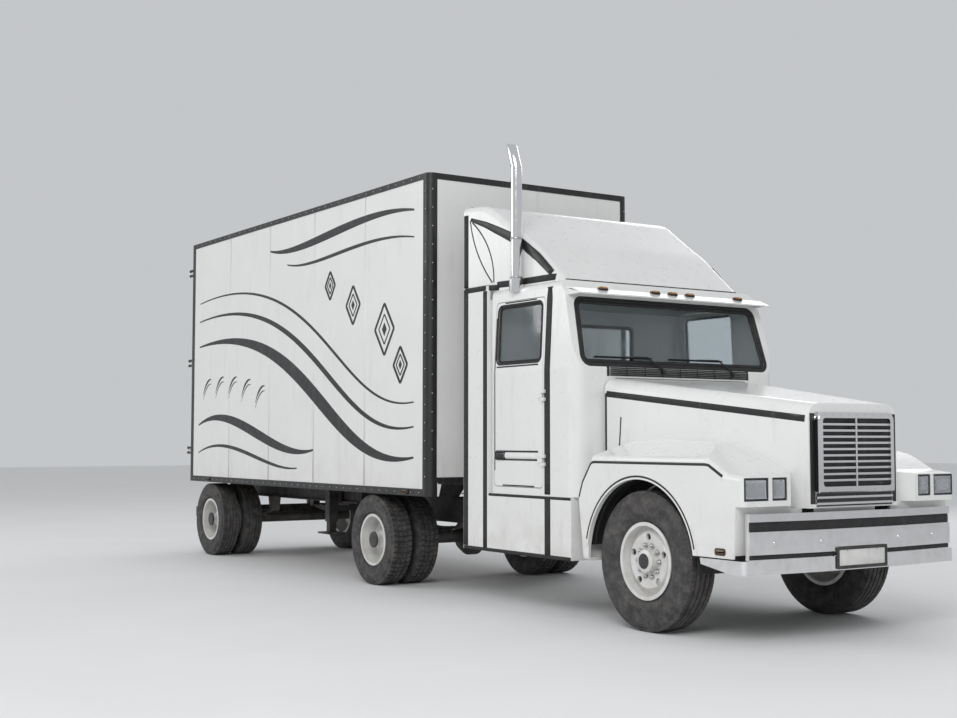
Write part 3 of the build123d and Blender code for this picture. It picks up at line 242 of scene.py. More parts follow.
class Finish:
    """A material whose colour is built up in layers."""

    def __init__(self, name, **numbers):
        self.material = bpy.data.materials.new(name)
        self.material.use_nodes = True
        self.tree = self.material.node_tree
        self.tree.nodes.clear()
        self.link = self.tree.links.new
        self.shader = self.node("BsdfPrincipled", {key.replace("_", " "): n for key, n in numbers.items()})
        output = self.node("OutputMaterial")
        self.link(self.shader.outputs[0], output.inputs[0])

    def node(self, kind, numbers=None, **settings):
        """A new node with numbers on its inputs and settings of its own."""
        made = self.tree.nodes.new("ShaderNode" + kind)
        for key, number in (numbers or {}).items():
            made.inputs[key].default_value = number
        for key, value in settings.items():
            setattr(made, key, value)
        return made

    def texture(self, kind, numbers, stretch=(1, 1, 1), **settings):
        """A texture node on stretched object coordinates."""
        made = self.node(kind, numbers, **settings)
        mapping = self.node("Mapping", {"Scale": stretch})
        self.link(self.node("TexCoord").outputs["Object"], mapping.inputs["Vector"])
        self.link(mapping.outputs["Vector"], made.inputs["Vector"])
        return made

    def noise(self, scale, detail, roughness=0.55, stretch=(1, 1, 1)):
        """A noise value between 0 and 1."""
        numbers = {"Scale": scale, "Detail": detail, "Roughness": roughness}
        return self.texture("TexNoise", numbers, stretch).outputs["Fac"]

    def remap(self, value, low, high, to_low=0.0, to_high=1.0):
        """A value moved from one range to another, and held there."""
        made = self.node("MapRange", {"From Min": low, "From Max": high, "To Min": to_low, "To Max": to_high})
        self.link(value, made.inputs["Value"])
        return made.outputs["Result"]

    def spots(self, noise, low, high, to_low=0.0, to_high=1.0):
        """A remapped noise, given by its scale, detail, and where they differ roughness and stretch."""
        return self.remap(self.noise(*noise), low, high, to_low, to_high)

    def times(self, a, b):
        """The product of two values."""
        made = self.node("Math", operation="MULTIPLY")
        self.link(a, made.inputs[0])
        self.link(b, made.inputs[1])
        return made.outputs[0]

    def low_down(self, low, high, amount=1.0):
        """A value that fades out with the height above the ground at rest."""
        split = self.node("SeparateXYZ")
        self.link(self.node("TexCoord").outputs["Object"], split.inputs[0])
        return self.remap(split.outputs["Z"], low, high, amount, 0.0)

    def colour(self, factor, first, second):
        """The base colour, between two colours."""
        made = self.node("Mix", data_type="RGBA")
        self.link(factor, made.inputs["Factor"])
        for key, value in (("A", first), ("B", second)):
            socket = [s for s in made.inputs if s.name == key and s.type == "RGBA"][0]
            if isinstance(value, tuple):
                socket.default_value = (*value, 1.0)
            else:
                self.link(value, socket)
        self.base = [s for s in made.outputs if s.type == "RGBA"][0]

    def layer(self, factor, over):
        """Another colour over the base colour."""
        self.colour(factor, self.base, over)

    def gloss(self, noise, low, high, least, most):
        """A roughness that varies with a noise."""
        self.link(self.spots(noise, low, high, least, most), self.shader.inputs["Roughness"])

    def done(self, relief=None, strength=0.0, distance=0.0):
        """The finished material, with relief from a value where one is given."""
        self.link(self.base, self.shader.inputs["Base Color"])
        if relief:
            made = self.node("Bump", {"Strength": strength, "Distance": distance})
            self.link(relief, made.inputs["Height"])
            self.link(made.outputs["Normal"], self.shader.inputs["Normal"])
        return self.material


def paint(name, colour, rough=0.3, dust_top=1.1, dust_amount=0.55, coat=0.5, peel=0.04):
    """Enamel: orange peel, faint uneven gloss, road dust low down and small chips."""
    f = Finish(name, Coat_Weight=coat, Coat_Roughness=0.12)
    f.colour(f.spots((1.7, 3), 0.3, 0.7), colour, scaled(colour, 0.955))
    low = f.low_down(0.25, dust_top)
    f.layer(f.times(low, f.spots((5.5, 8, 0.62), 0.36, 0.72, 0.0, dust_amount)), ROAD_DUST)
    f.layer(f.spots((9.0, 5, 0.6, (1, 1, 0.12)), 0.57, 0.78, 0.0, 0.16), scaled(ROAD_DUST, 0.55))
    f.layer(f.times(f.spots((160.0, 2), 0.765, 0.785, 0.0, 0.75), low), (0.09, 0.08, 0.075))
    f.gloss((12.0, 6, 0.6), 0.25, 0.8, rough * 0.75, rough * 1.5)
    return f.done(f.noise(420.0, 2), peel, 0.002)


def metal(name, colour, rough, brushed=None, spots=0.12, grime=0.3):
    """Bare or plated metal with smears, and brush lines where it has them."""
    f = Finish(name, Metallic=1.0)
    f.colour(f.spots((6.0, 7, 0.65), 0.35, 0.75, 0.0, spots), colour, scaled(colour, 0.55))
    f.layer(f.times(f.low_down(0.3, 1.3, grime), f.spots((11.0, 8, 0.6), 0.42, 0.75)), (0.23, 0.2, 0.17))
    f.gloss((14.0, 6, 0.6), 0.25, 0.8, rough * 0.7, rough * 1.7)
    return f.done(f.noise(60.0, 3, 0.6, brushed or (1, 1, 1)), 0.12 if brushed else 0.03, 0.001)


def rough_metal(name, colour, rust=0.35, rough=0.6, metallic=0.35, bump=0.35):
    """Cast or forged iron and chassis paint with dust and some rust."""
    f = Finish(name, Metallic=metallic)
    f.colour(f.spots((8.0, 5), 0.3, 0.7), colour, scaled(colour, 1.7))
    f.layer(f.spots((17.0, 9, 0.68), 0.55, 0.72, 0.0, rust), (0.16, 0.085, 0.05))
    f.layer(f.spots((4.0, 6, 0.6), 0.45, 0.8, 0.0, 0.4), (0.3, 0.26, 0.21))
    f.gloss((30.0, 5), 0.3, 0.7, rough * 0.8, min(1.0, rough * 1.3))
    return f.done(f.noise(140.0, 5, 0.7), bump, 0.002)


def rubber(name, colour=(0.032, 0.032, 0.034), dust=0.45, rough=0.78, grain=220.0):
    """Rubber with road dust in its hollows."""
    f = Finish(name)
    f.colour(f.spots((9.0, 5), 0.3, 0.7), colour, scaled(colour, 1.6))
    f.layer(f.spots((13.0, 9, 0.66), 0.42, 0.8, 0.0, dust), (0.25, 0.22, 0.185))
    f.gloss((40.0, 5), 0.3, 0.7, rough * 0.85, min(1.0, rough * 1.2))
    return f.done(f.noise(grain, 4, 0.7), 0.25, 0.0015)


def plastic(name, colour, rough=0.55):
    """Moulded plastic with a fine leather grain."""
    f = Finish(name)
    f.colour(f.spots((3.0, 4), 0.3, 0.7), colour, scaled(colour, 1.25))
    f.layer(f.spots((21.0, 6, 0.6), 0.55, 0.85, 0.0, 0.3), (0.33, 0.31, 0.28))
    f.gloss((50.0, 4), 0.3, 0.7, rough * 0.85, min(1.0, rough * 1.2))
    return f.done(f.texture("TexVoronoi", {"Scale": 900.0}).outputs["Distance"], 0.25, 0.0006)


def glass(name, colour, rough=0.02, haze=0.1):
    """Tinted sheet glass with a wiped film of dust."""
    f = Finish(name, Transmission_Weight=1.0, IOR=1.45)
    f.colour(f.spots((3.5, 6, 0.62), 0.45, 0.85, 0.0, haze), colour, (0.55, 0.54, 0.5))
    f.gloss((7.0, 6, 0.6), 0.4, 0.85, rough, rough + haze)
    return f.done()


def lens_glass(name, colour, pitch=75.0):
    """A moulded lamp lens with fine flutes."""
    f = Finish(name, Transmission_Weight=0.96, IOR=1.49)
    f.colour(f.spots((25.0, 4), 0.3, 0.75, 0.0, 0.25), colour, scaled(colour, 0.7))
    f.gloss((16.0, 4), 0.3, 0.8, 0.01, 0.07)
    flutes = f.texture("TexWave", {"Scale": pitch}, bands_direction="Y")
    return f.done(flutes.outputs["Fac"], 0.4, 0.002)


def woven(name, colour):
    """Seat cloth: two crossed thread waves with worn and lighter patches."""
    f = Finish(name, Sheen_Weight=0.35)
    threads = {"Scale": 420.0, "Distortion": 1.2}
    waves = [f.texture("TexWave", threads, bands_direction=way).outputs["Fac"] for way in ("Y", "Z")]
    weave = f.times(*waves)
    f.colour(weave, scaled(colour, 0.7), scaled(colour, 1.5))
    f.layer(f.spots((6.0, 5), 0.5, 0.8, 0.0, 0.35), scaled(colour, 2.0))
    f.link(f.remap(weave, 0.0, 1.0, 0.95, 0.75), f.shader.inputs["Roughness"])
    return f.done(weave, 0.5, 0.001)


def planks(name, colour):
    """Hardwood boards with grain along the lorry."""
    f = Finish(name)
    grain = f.noise(22.0, 8, 0.65, (0.08, 1.0, 1.0))
    f.colour(f.remap(grain, 0.3, 0.7), colour, scaled(colour, 0.5))
    f.layer(f.spots((9.0, 8, 0.65, (0.5, 1, 1)), 0.52, 0.75, 0.0, 0.5), (0.2, 0.17, 0.14))
    f.link(f.remap(grain, 0.3, 0.7, 0.55, 0.85), f.shader.inputs["Roughness"])
    return f.done(grain, 0.3, 0.002)


WHITE = paint("white_enamel", (0.8, 0.8, 0.79))
BOX_WHITE = paint("box_enamel", (0.79, 0.79, 0.775), rough=0.36, dust_top=1.5, coat=0.25)
RIM_WHITE = paint("rim_enamel", (0.74, 0.74, 0.73), rough=0.34, dust_top=1.4, dust_amount=0.75)
BLACK = paint("black_trim", (0.01, 0.01, 0.011), rough=0.42, dust_amount=0.2, coat=0.15, peel=0.03)
CHASSIS = rough_metal("chassis_paint", (0.022, 0.022, 0.024), rust=0.2, rough=0.5, metallic=0.1, bump=0.15)
IRON = rough_metal("cast_iron", (0.07, 0.068, 0.066))
BRIGHT = metal("bright_plate", (0.8, 0.8, 0.81), 0.09)
STEEL = metal("plain_steel", (0.52, 0.52, 0.53), 0.28, brushed=(1, 1, 0.1))
ALLOY = metal("brushed_alloy", (0.7, 0.71, 0.72), 0.3, brushed=(0.08, 1, 1))
TYRE = rubber("tyre_rubber")
SEAL = rubber("seal_rubber", (0.008, 0.008, 0.009), dust=0.06, rough=0.6, grain=500.0)
GLASS = glass("tinted_glass", (0.78, 0.84, 0.86))
LENS = lens_glass("lamp_lens", (0.93, 0.95, 0.97))
AMBER = lens_glass("amber_lens", (0.95, 0.42, 0.05), 120.0)
RED = lens_glass("red_lens", (0.75, 0.03, 0.03), 120.0)
REFLECTOR = metal("lamp_reflector", (0.88, 0.88, 0.89), 0.06, spots=0.02, grime=0.05)
INTERIOR = plastic("cab_plastic", (0.055, 0.055, 0.06))
PALE_PLASTIC = plastic("pale_plastic", (0.42, 0.42, 0.41))
CLOTH = woven("seat_cloth", (0.1, 0.1, 0.115))
BOARDS = planks("floor_boards", (0.36, 0.26, 0.17))

NODE_FINISH = (
    (CHASSIS, ("frame_rails", "trailer_subframe", "landing_gear", "rear_guard")),
    (IRON, ("front_axle", "suspension", "drive_axle", "engine_block", "fifth_wheel", "trailer_axle")),
    (WHITE, ("cab_shell", "sun_visor", "roof_fairing", "side_fairings", "hood_shell", "fenders", "cab_door")),
    (BOX_WHITE, ("box_sides", "box_front_wall", "rear_door")), (IRON, ("knuckle",)), (BLACK, ("box_frame",)),
    (ALLOY, ("radiator", "fuel_tanks", "box_roof")), (BRIGHT, ("exhaust_stack", "bumper", "grille")),
    (GLASS, ("cab_glass", "door_glass")), (INTERIOR, ("dashboard", "steering_wheel")), (CLOTH, ("seats",)),
    (RIM_WHITE, ("front_rim", "drive_rims", "trailer_rims")), (LENS, ("headlamps",)),
    (TYRE, ("front_tyre", "drive_tyres", "trailer_tyres")), (BOARDS, ("box_floor",)))


def dress_nodes():
    """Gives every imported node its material."""
    finishes = {family: finish for finish, families in NODE_FINISH for family in families}
    for name, node in nodes.items():
        finish = finishes[name.removesuffix("_left").removesuffix("_right")]
        if not node.material_slots:
            node.data.materials.append(finish)
        for holder in node.material_slots:
            holder.material = finish


# Wheels
def tyre_section(outer, rim, half, tread_half, grooves, groove_depth):
    """The tyre's section as (radius, offset, is_tread): bead to bead over the tread."""
    wall = outer - rim
    side = [(rim + 0.002, half * 0.62), (rim + 0.012, half * 0.7), (rim + 0.024, half * 0.735)]
    side += [(rim + up * wall, half * wide) for up, wide in (
        (0.16, 0.86), (0.3, 0.955), (0.34, 0.985), (0.37, 0.97), (0.52, 1), (0.66, 0.99), (0.69, 1),
        (0.72, 0.98), (0.84, 0.95))]
    side += [(outer - 0.03, tread_half + 0.012), (outer - 0.01, tread_half + 0.004)]
    top = [(outer, tread_half, 1)]
    for centre, wide in grooves:
        high = centre + wide / 2
        low = centre - wide / 2
        top += [(outer, high + 0.001, 1), (outer - groove_depth, high - 0.002, 0),
                (outer - groove_depth, low + 0.002, 0), (outer, low - 0.001, 1)]
    top += [(outer, -tread_half, 1)]
    return [(r, s, 0) for r, s in side] + top + [(r, -s, 0) for r, s in reversed(side)]


def add_tyre(builder, centre, outer, rim, width, lugs, block_share, depth, ribbed):
    """One tyre about a cross axis, with grooves round it and cuts across it."""
    half = width / 2
    tread_half = half * 0.8
    if ribbed:
        grooves = [(tread_half * t, 0.013) for t in (0.62, 0.21, -0.21, -0.62)]
    else:
        grooves = [(tread_half * t, 0.016) for t in (0.52, 0, -0.52)]
    section = tyre_section(outer, rim, half, tread_half, grooves, depth)
    step = tau / lugs
    solid = step * block_share
    ramp = step * (1 - block_share) * 0.22
    inner_limit = tread_half * (0.62 if ribbed else 0.52)
    cut_depth = depth * (0.35 if ribbed else 0.9)
    rings = []
    for i in range(lugs):
        for along, on_block in ((0, 1), (solid * 0.5, 1), (solid, 1), (solid + ramp, 0), (step - ramp, 0)):
            ring = []
            for r, s, top in section:
                skew = 0
                if top:
                    skew = 0.35 * step * (s / tread_half) * (1 if s > 0 else -1)
                    if not on_block and (abs(s) >= inner_limit or not ribbed):
                        r = r - cut_depth
                elif not on_block and r > outer - 0.034 and abs(s) > tread_half:
                    r = r - cut_depth * 0.7
                angle = i * step + along + skew
                ring.append(Vector((centre[0] + r * sin(angle), centre[1] + s, centre[2] - r * cos(angle))))
            rings.append(ring)
    builder.joined(rings, True)


# Axle: name ending, place along the lorry, radius, rim's radius, tyre's width
AXLES = {
    "front": ("", front_axle_x, front_radius, 0.286, front_high.y - front_low.y),
    "drive": ("s", drive_axle_x, rear_radius, 0.25, 0.25),
    "trailer": ("s", trailer_axle_x, rear_radius, 0.25, 0.25)}
# Axle: lugs, their share of a step, tread depth, ribbed
TREADS = {
    "front": (84, 0.82, 0.012, True), "drive": (52, 0.72, 0.015, False), "trailer": (76, 0.84, 0.011, True)}


def tyres():
    """Detailed tyres in place of the plain ones."""
    for hand in HANDS:
        for axle, (ending, x, radius, rim, width) in AXLES.items():
            low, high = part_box(f"{axle}_tyre{ending}_{hand}")
            middle = (low.y + high.y) / 2
            reach = (drive_high.y - drive_low.y - width) / 2
            builder = Builder()
            for y in (middle - reach, middle + reach) if ending else (middle,):
                add_tyre(builder, (x, y, radius), radius, rim, width, *TREADS[axle])
            body = f"{axle}_wheel{ending}_{hand}"
            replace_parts(builder.piece(f"{axle}_tyre_tread{ending}_{hand}", TYRE, body, crease=32),
                        f"{axle}_tyre{ending}_{hand}")


def wheel_trim():
    """Nuts with their washers and studs, and hub caps with their bolts."""
    nuts = 10
    cap_bolts = 8
    front_face = 1.043
    nut = (
        (((0.0222, 0), (0.0222, 0.004), (0.015, 0.004)), 16),
        (((0.0171, 0.003), (0.0171, 0.02), (0.0135, 0.023)), 6),
        (((0.0099, 0.02), (0.0099, 0.03), (0.0072, 0.033)), 10))
    for hand, side in HANDS.items():
        axis = (0, side, 0)
        for axle, (ending, x, radius, *_) in AXLES.items():
            low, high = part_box(f"{axle}_rim{ending}_{hand}")
            body = f"{axle}_wheel{ending}_{hand}"
            face = (low.y + high.y) / 2 + side * 0.028 if ending else side * front_face
            ring = 0.142 if ending else 0.126
            reach = 0.074 if ending else 0.064
            wheel_nuts = Builder()
            for i in range(nuts):
                at = (x + ring * cos(tau * i / nuts), face, radius + ring * sin(tau * i / nuts))
                for outline, sides in nut:
                    wheel_nuts.turned(at, axis, outline, sides)
            wheel_nuts.piece(f"{axle}_wheel_nuts_{hand}", STEEL, body, crease=35)
            cap = Builder()
            tip = high.y if side > 0 else low.y
            cap.turned((x, tip - side * 0.017, radius), axis,
                       ((reach + 0.008, -0.002), (reach + 0.008, 0.012), (reach - 0.004, 0.017),
                        (reach * 0.72, 0.0188), (reach * 0.3, 0.0192), (0.004, 0.0194)), 40)
            bolt_ring = reach - 0.01
            for i in range(cap_bolts):
                turn = tau * (i + 0.5) / cap_bolts
                at = (x + bolt_ring * cos(turn), tip - side * 0.006, radius + bolt_ring * sin(turn))
                cap.turned(at, axis, ((0.006, 0), (0.006, 0.004), (0.004, 0.0055)), 6)
            cap.piece(f"{axle}_hub_cap_{hand}", BLACK, body, crease=30)


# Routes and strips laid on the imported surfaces
SINK = 0.001
AHEAD = {"left": (0, -1, 0), "right": (0, 1, 0), "front": (-1, 0, 0), "rear": (1, 0, 0), "top": (0, 0, -1)}


def skin_of(*names):
    """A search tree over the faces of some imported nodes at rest."""
    vertices = []
    faces = []
    for name in names:
        mesh = nodes[name].data
        start = len(vertices)
        vertices += [v.co.copy() for v in mesh.vertices]
        faces += [[start + i for i in polygon.vertices] for polygon in mesh.polygons]
    return BVHTree.FromPolygons(vertices, faces)


def probe(skin, look, u, v):
    """Where a straight look meets a skin, with the normal there, or nothing."""
    far = 9
    start = {"left": (u, far, v), "right": (u, -far, v), "front": (far, u, v), "rear": (-far, u, v),
             "top": (u, v, far)}[look]
    ahead = Vector(AHEAD[look])
    point, normal, *_ = skin.ray_cast(Vector(start), ahead)
    if point is None:
        return None
    return point, (-normal if normal.dot(ahead) > 0 else normal)


def laid(skin, look, route):
    """The points, sunk by a hair, and the normals where a flat route meets a skin."""
    found = [met for met in (probe(skin, look, u, v) for u, v in route) if met]
    return [point - normal * SINK for point, normal in found], [normal for point, normal in found]


def rounded(corners, radius, steps=5):
    """A closed flat route with its corners turned into arcs."""
    route = []
    for i, corner in enumerate(corners):
        here = Vector((*corner, 0))
        back = (Vector((*corners[i - 1], 0)) - here).normalized()
        on = (Vector((*corners[(i + 1) % len(corners)], 0)) - here).normalized()
        half = back.angle(on) / 2
        centre = here + (back + on).normalized() * (radius / sin(half))
        first = here + back * (radius / tan(half)) - centre
        last = here + on * (radius / tan(half)) - centre
        for k in range(steps + 1):
            arm = first.lerp(last, k / steps).normalized() * radius
            route.append(((centre + arm).x, (centre + arm).y))
    return route


def spaced(route, pitch, closed=False):
    """The same route with points added along its long runs."""
    ends = route[1:] + route[:1] if closed else route[1:]
    full = []
    for (a, b), (c, d) in zip(route, ends):
        count = max(1, round(sqrt((c - a) ** 2 + (d - b) ** 2) / pitch))
        full += [(a + (c - a) * k / count, b + (d - b) * k / count) for k in range(count)]
    return full if closed else full + [route[-1]]


def bezier(guides, count):
    """Points of a flat cubic curve through four guide points."""
    points = []
    for i in range(count + 1):
        t = i / count
        u = 1 - t
        points.append(tuple(u * u * u * a + 3 * u * u * t * b + 3 * u * t * t * c + t * t * t * d
                            for a, b, c, d in zip(*guides)))
    return points


def tapered(first, middle, last, count):
    """Widths that swell from the first to the middle and fall to the last."""
    widths = []
    for i in range(count):
        t = i / (count - 1)
        near = first if t < 0.5 else last
        widths.append(near + (middle - near) * sin(pi * t))
    return widths


def loop(look, corners, radius, depth, steps=5):
    """A rounded outline as points: corners lie across the look, depth along it."""
    flat = rounded(corners, radius, steps) if radius else corners
    if look == "front":
        return [Vector((depth, u, v)) for u, v in flat]
    if look == "side":
        return [Vector((u, depth, v)) for u, v in flat]
    return [Vector((u, v, depth)) for u, v in flat]


def oblong(low_u, high_u, low_v, high_v, inset=0, taper=0):
    """Four corners of a rectangle, drawn in by an inset and narrower at the top by a taper."""
    return [(low_u + inset, low_v + inset), (high_u - inset, low_v + inset),
            (high_u - inset - taper, high_v - inset), (low_u + inset + taper, high_v - inset)]


def around(u, v, reach_u, reach_v):
    """The sides of a rectangle about a middle."""
    return u - reach_u, u + reach_u, v - reach_v, v + reach_v


# Glass rubbers
def pane_sizes(forward):
    """The low edge, the high edge and the half width of the windshield or the back window."""
    middle = (cab_low.x + cab_high.x) / 2
    pane = [v.co for v in nodes["cab_glass"].data.vertices if (v.co.x > middle) == forward]
    return min(p.z for p in pane), max(p.z for p in pane), max(p.y for p in pane)


shield_low, shield_high, shield_half = pane_sizes(True)


def gasket(name, panes, walls, look, opening, radius, wide, body="tractor", taper=0):
    """A window rubber: one lip on the wall round the opening and one down on the pane."""
    rubber_strip = Builder()
    for skin, inset, turn, height in ((walls, -wide * 0.38, wide * 0.38, 0.005),
                                      (panes, wide * 0.42, -wide * 0.3, 0.016)):
        route = rounded(oblong(*opening, inset, taper), radius + turn)
        rubber_strip.strip(skin, look, route, wide, height, closed=True)
    rubber_strip.piece(name, SEAL, body)


def window_rubbers():
    """Rubbers of the windshield, the back window and the door windows."""
    cab = skin_of("cab_shell")
    panes = skin_of("cab_glass")
    gasket("windshield_rubber", panes, cab, "front", (-shield_half, shield_half, shield_low, shield_high),
           0.06, 0.036, taper=0.04)
    low, high, half = pane_sizes(False)
    gasket("back_window_rubber", panes, cab, "rear", (-half, half, low, high), 0.05, 0.034)
    for hand in HANDS:
        low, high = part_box(f"door_glass_{hand}")
        gasket(f"door_window_rubber_{hand}", skin_of(f"door_glass_{hand}"), skin_of(f"cab_door_{hand}"), hand,
               (low.x, high.x, low.z, high.z), 0.045, 0.022, f"cab_door_{hand}")


# Black trims of the cab, the fairings and the hood, and black painted shade beside the grille, over the
# fenders and in the wheel arches
def cab_trims():
    """Upright and level black strips along the cab's seams, on both sides."""
    front = cab_high.x - 0.065
    foot = extender_low.z + 0.012
    low = extender_low.z + 0.02
    sill = cab_low.z - 0.016
    seam = cab_low.x - 0.042
    rear = extender_low.x
    edge_x = rear + 0.04
    top = extender_high.z
    skirts = skin_of("side_fairings")
    for hand in HANDS:
        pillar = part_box(f"cab_door_{hand}")[1].x + 0.052
        trims = Builder()
        trims.lines(skin_of("cab_shell", "side_fairings"), hand, (
            (pillar, cab_high.z - 0.055, pillar, cab_low.z + 0.012, 0.088, 0.004),))
        trims.lines(skirts, hand, (
            (pillar, cab_low.z - 0.012, pillar, low, 0.088, 0.004),
            (seam, top - 0.045, seam, low, 0.07, 0.004),
            (rear + 0.012, foot, front, foot, 0.032, 0.004),
            (cab_low.x + 0.02, sill, front, sill, 0.026, 0.004)))
        trims.piece(f"side_seam_trim_{hand}", SEAL)
        edge = Builder()
        edge.lines(skirts, hand, ((edge_x, extender_low.z + 0.03, edge_x, top - 0.005, 0.08, 0.005),))
        edge.lines(skin_of("side_fairings", "roof_fairing"), hand, (
            (rear + 0.022, top - 0.018, cab_low.x + 0.08, top - 0.018, 0.05, 0.006),))
        edge.piece(f"extender_edge_rubber_{hand}", SEAL)


def fairing_trims():
    """The fairing's edge rubber, foot seal, shoulder moulding and side pinstripes."""
    skin = skin_of("roof_fairing")
    rear = fairing_low.x
    top = fairing_high.z
    edge = Builder()
    edge_x = rear + 0.034
    for hand in HANDS:
        edge.lines(skin, hand, ((edge_x, extender_high.z + 0.01, edge_x, top - 0.085, 0.066, 0.005),))
    across = []
    half = fairing_high.y - 0.075
    steps = 48
    for i in range(steps + 1):
        y = -half + 2 * half * i / steps
        met = probe(skin, "rear", y, top - 0.01)
        if met:
            across.append((met[0].x + 0.02, y))
    edge.band(*laid(skin, "top", across), 0.04, 0.006)
    edge.piece("fairing_edge_rubber", SEAL)
    foot = Builder()
    line = cab_high.z + 0.042
    for hand in HANDS:
        foot.lines(skin, hand, ((cab_low.x + 0.06, line, fairing_high.x - 0.1, line, 0.06, 0.006),), 0.05)
    half = fairing_high.y * 0.86
    steps = 24
    front = [probe(skin, "front", -half + 2 * half * i / steps, cab_high.z + 0.008) for i in range(steps + 1)]
    foot.tube([met[0] for met in front if met], 0.011)
    foot.piece("fairing_foot_seal", SEAL)
    shoulder = Builder()
    curve = ((0.1, 0.13), (0.3, 0.2), (0.55, 0.31), (0.8, 0.43), (1.02, 0.57), (1.22, 0.73))
    stripes = (((0.09, 0.14), (0.13, 0.4), (0.26, 0.6), (0.39, 0.74)),
               ((0.12, 0.16), (0.34, 0.34), (0.42, 0.55), (0.41, 0.74)))
    for hand in HANDS:
        points, normals = laid(skin, hand, spaced([(rear + u, top - v) for u, v in curve], 0.05))
        shoulder.band(points, normals, tapered(0.034, 0.088, 0.06, len(points)), 0.006)
        for stripe in stripes:
            route = bezier([(rear + u, top - v) for u, v in stripe], 12)
            shoulder.strip(skin, hand, route, 0.016, 0.003, 0.05)
    shoulder.piece("fairing_shoulder_trim", BLACK)


def hood_trims():
    """The hood's side mouldings and rear seal, and black bands beside the grille that are painted shade."""
    skin = skin_of("hood_shell")
    rear = hood_low.x
    front = hood_high.x
    top = hood_high.z
    front_top = grille_high.z + 0.065
    seal = rear + 0.012
    half = hood_high.y - 0.11
    mouldings = Builder()
    for hand in HANDS:
        mouldings.lines(skin, hand, (
            (rear + 0.02, top - 0.135, front - 0.03, front_top - 0.115, 0.052, 0.005),), 0.2)
        mouldings.lines(skin, hand, ((rear + 0.17, top - 0.33, rear + 0.15, top - 0.62, 0.014, 0.004),))
        mouldings.lines(skin, hand, ((seal, top - 0.13, seal, cab_low.z + 0.22, 0.022, 0.004),), 0.1)
    mouldings.lines(skin, "top", ((seal, -half, seal, half, 0.02, 0.004),), 0.1)
    mouldings.piece("hood_mouldings", BLACK, "hood")
    # The black bands beside the grille are painted shade: they stand for the dark shadow at the nose's front
    # corners, on both sides.
    nose = Builder()
    for side in SIDES:
        nose.box((front - 0.002, side * (grille_high.y + 0.003), hood_low.z + 0.03),
                 (front + 0.003, side * (grille_high.y + 0.053), front_top - 0.075))
    bevel(nose.piece("nose_painted_shade_bands", BLACK, "hood", smooth=False), 0.0015)


def fender_trims():
    """A black painted shadow line over each fender's shoulder and a rubber lip round its wheel arch."""
    skin = skin_of("fenders")
    reach = 0.652
    # The shoulder line is painted shadow: a dark line along the fender's crown where the surface turns away
    # from the light.
    shoulder = [(hood_low.x + 0.032, 1.01), (hood_low.x + 0.077, 1.13)]
    shoulder += [(front_axle_x + u, v) for u, v in (
        (-0.612, 1.265), (-0.597, 1.282), (-0.575, 1.292), (-0.545, 1.295), (0.75, 1.295), (0.785, 1.29),
        (0.93, 1.212))]
    arch = [(front_axle_x + reach * cos(radians(turn)), front_radius + reach * sin(radians(turn)))
            for turn in range(12, 169, 4)]
    lines, lips = builders(2)
    for hand in HANDS:
        lines.strip(skin, hand, shoulder, 0.022, 0.003)
        lips.strip(skin, hand, arch, 0.016, 0.003)
    lines.piece("fender_painted_shadow_lines", BLACK, "hood")
    lips.piece("fender_arch_lips", SEAL, "hood")


def wheel_arch_liners():
    """Moulded liners that close the fenders' hollows behind the wheel arches, in the darkest rubber so that
    they also paint the shade of the wheel wells.
    """
    radius = 0.6345
    rows = 30
    ribs = 7
    rise = 0.004
    start = radians(-4)
    end = radians(172)
    inner = 0.575
    outer = extender_high.y - 0.03
    columns = [(inner, 0), (inner + 0.02, rise)]
    for k in range(ribs):
        base = inner + 0.02 + (outer - inner - 0.04) * (k + 0.5) / ribs
        columns += [(base - 0.018, rise), (base - 0.012, 0), (base + 0.012, 0), (base + 0.018, rise)]
    columns += [(outer - 0.02, rise), (outer, 0)]
    wide = len(columns)
    for hand, side in HANDS.items():
        vertices = []
        faces = []
        for i in range(rows + 1):
            turn = start + (end - start) * i / rows
            for y, lift in columns:
                r = radius + lift
                vertices.append((front_axle_x + r * cos(turn), side * y, front_radius + r * sin(turn)))
        for i in range(rows):
            for k in range(wide - 1):
                quad = (i * wide + k, i * wide + k + 1, (i + 1) * wide + k + 1, (i + 1) * wide + k)
                faces.append(quad if side > 0 else tuple(reversed(quad)))
        liner = Builder()
        liner.add(vertices, faces)
        # The liners are real parts, but their near-black rubber is chosen as painted shade of the wheel
        # wells.
        piece = liner.piece(f"wheel_arch_liner_{hand}", SEAL, "hood")
        solid = piece.modifiers.new("wall", "SOLIDIFY")
        solid.thickness = 0.003
        solid.offset = 0
        apply_modifiers(piece)
        flat_where_sharp(piece, 30)


# The nose
def screw(builder, at, radius):
    """A low domed screw head that faces forward."""
    height = 0.003
    builder.turned(at, (1, 0, 0), ((radius, 0), (radius, height * 0.4), (radius * 0.75, height * 0.85),
                                   (radius * 0.3, height)), 10)


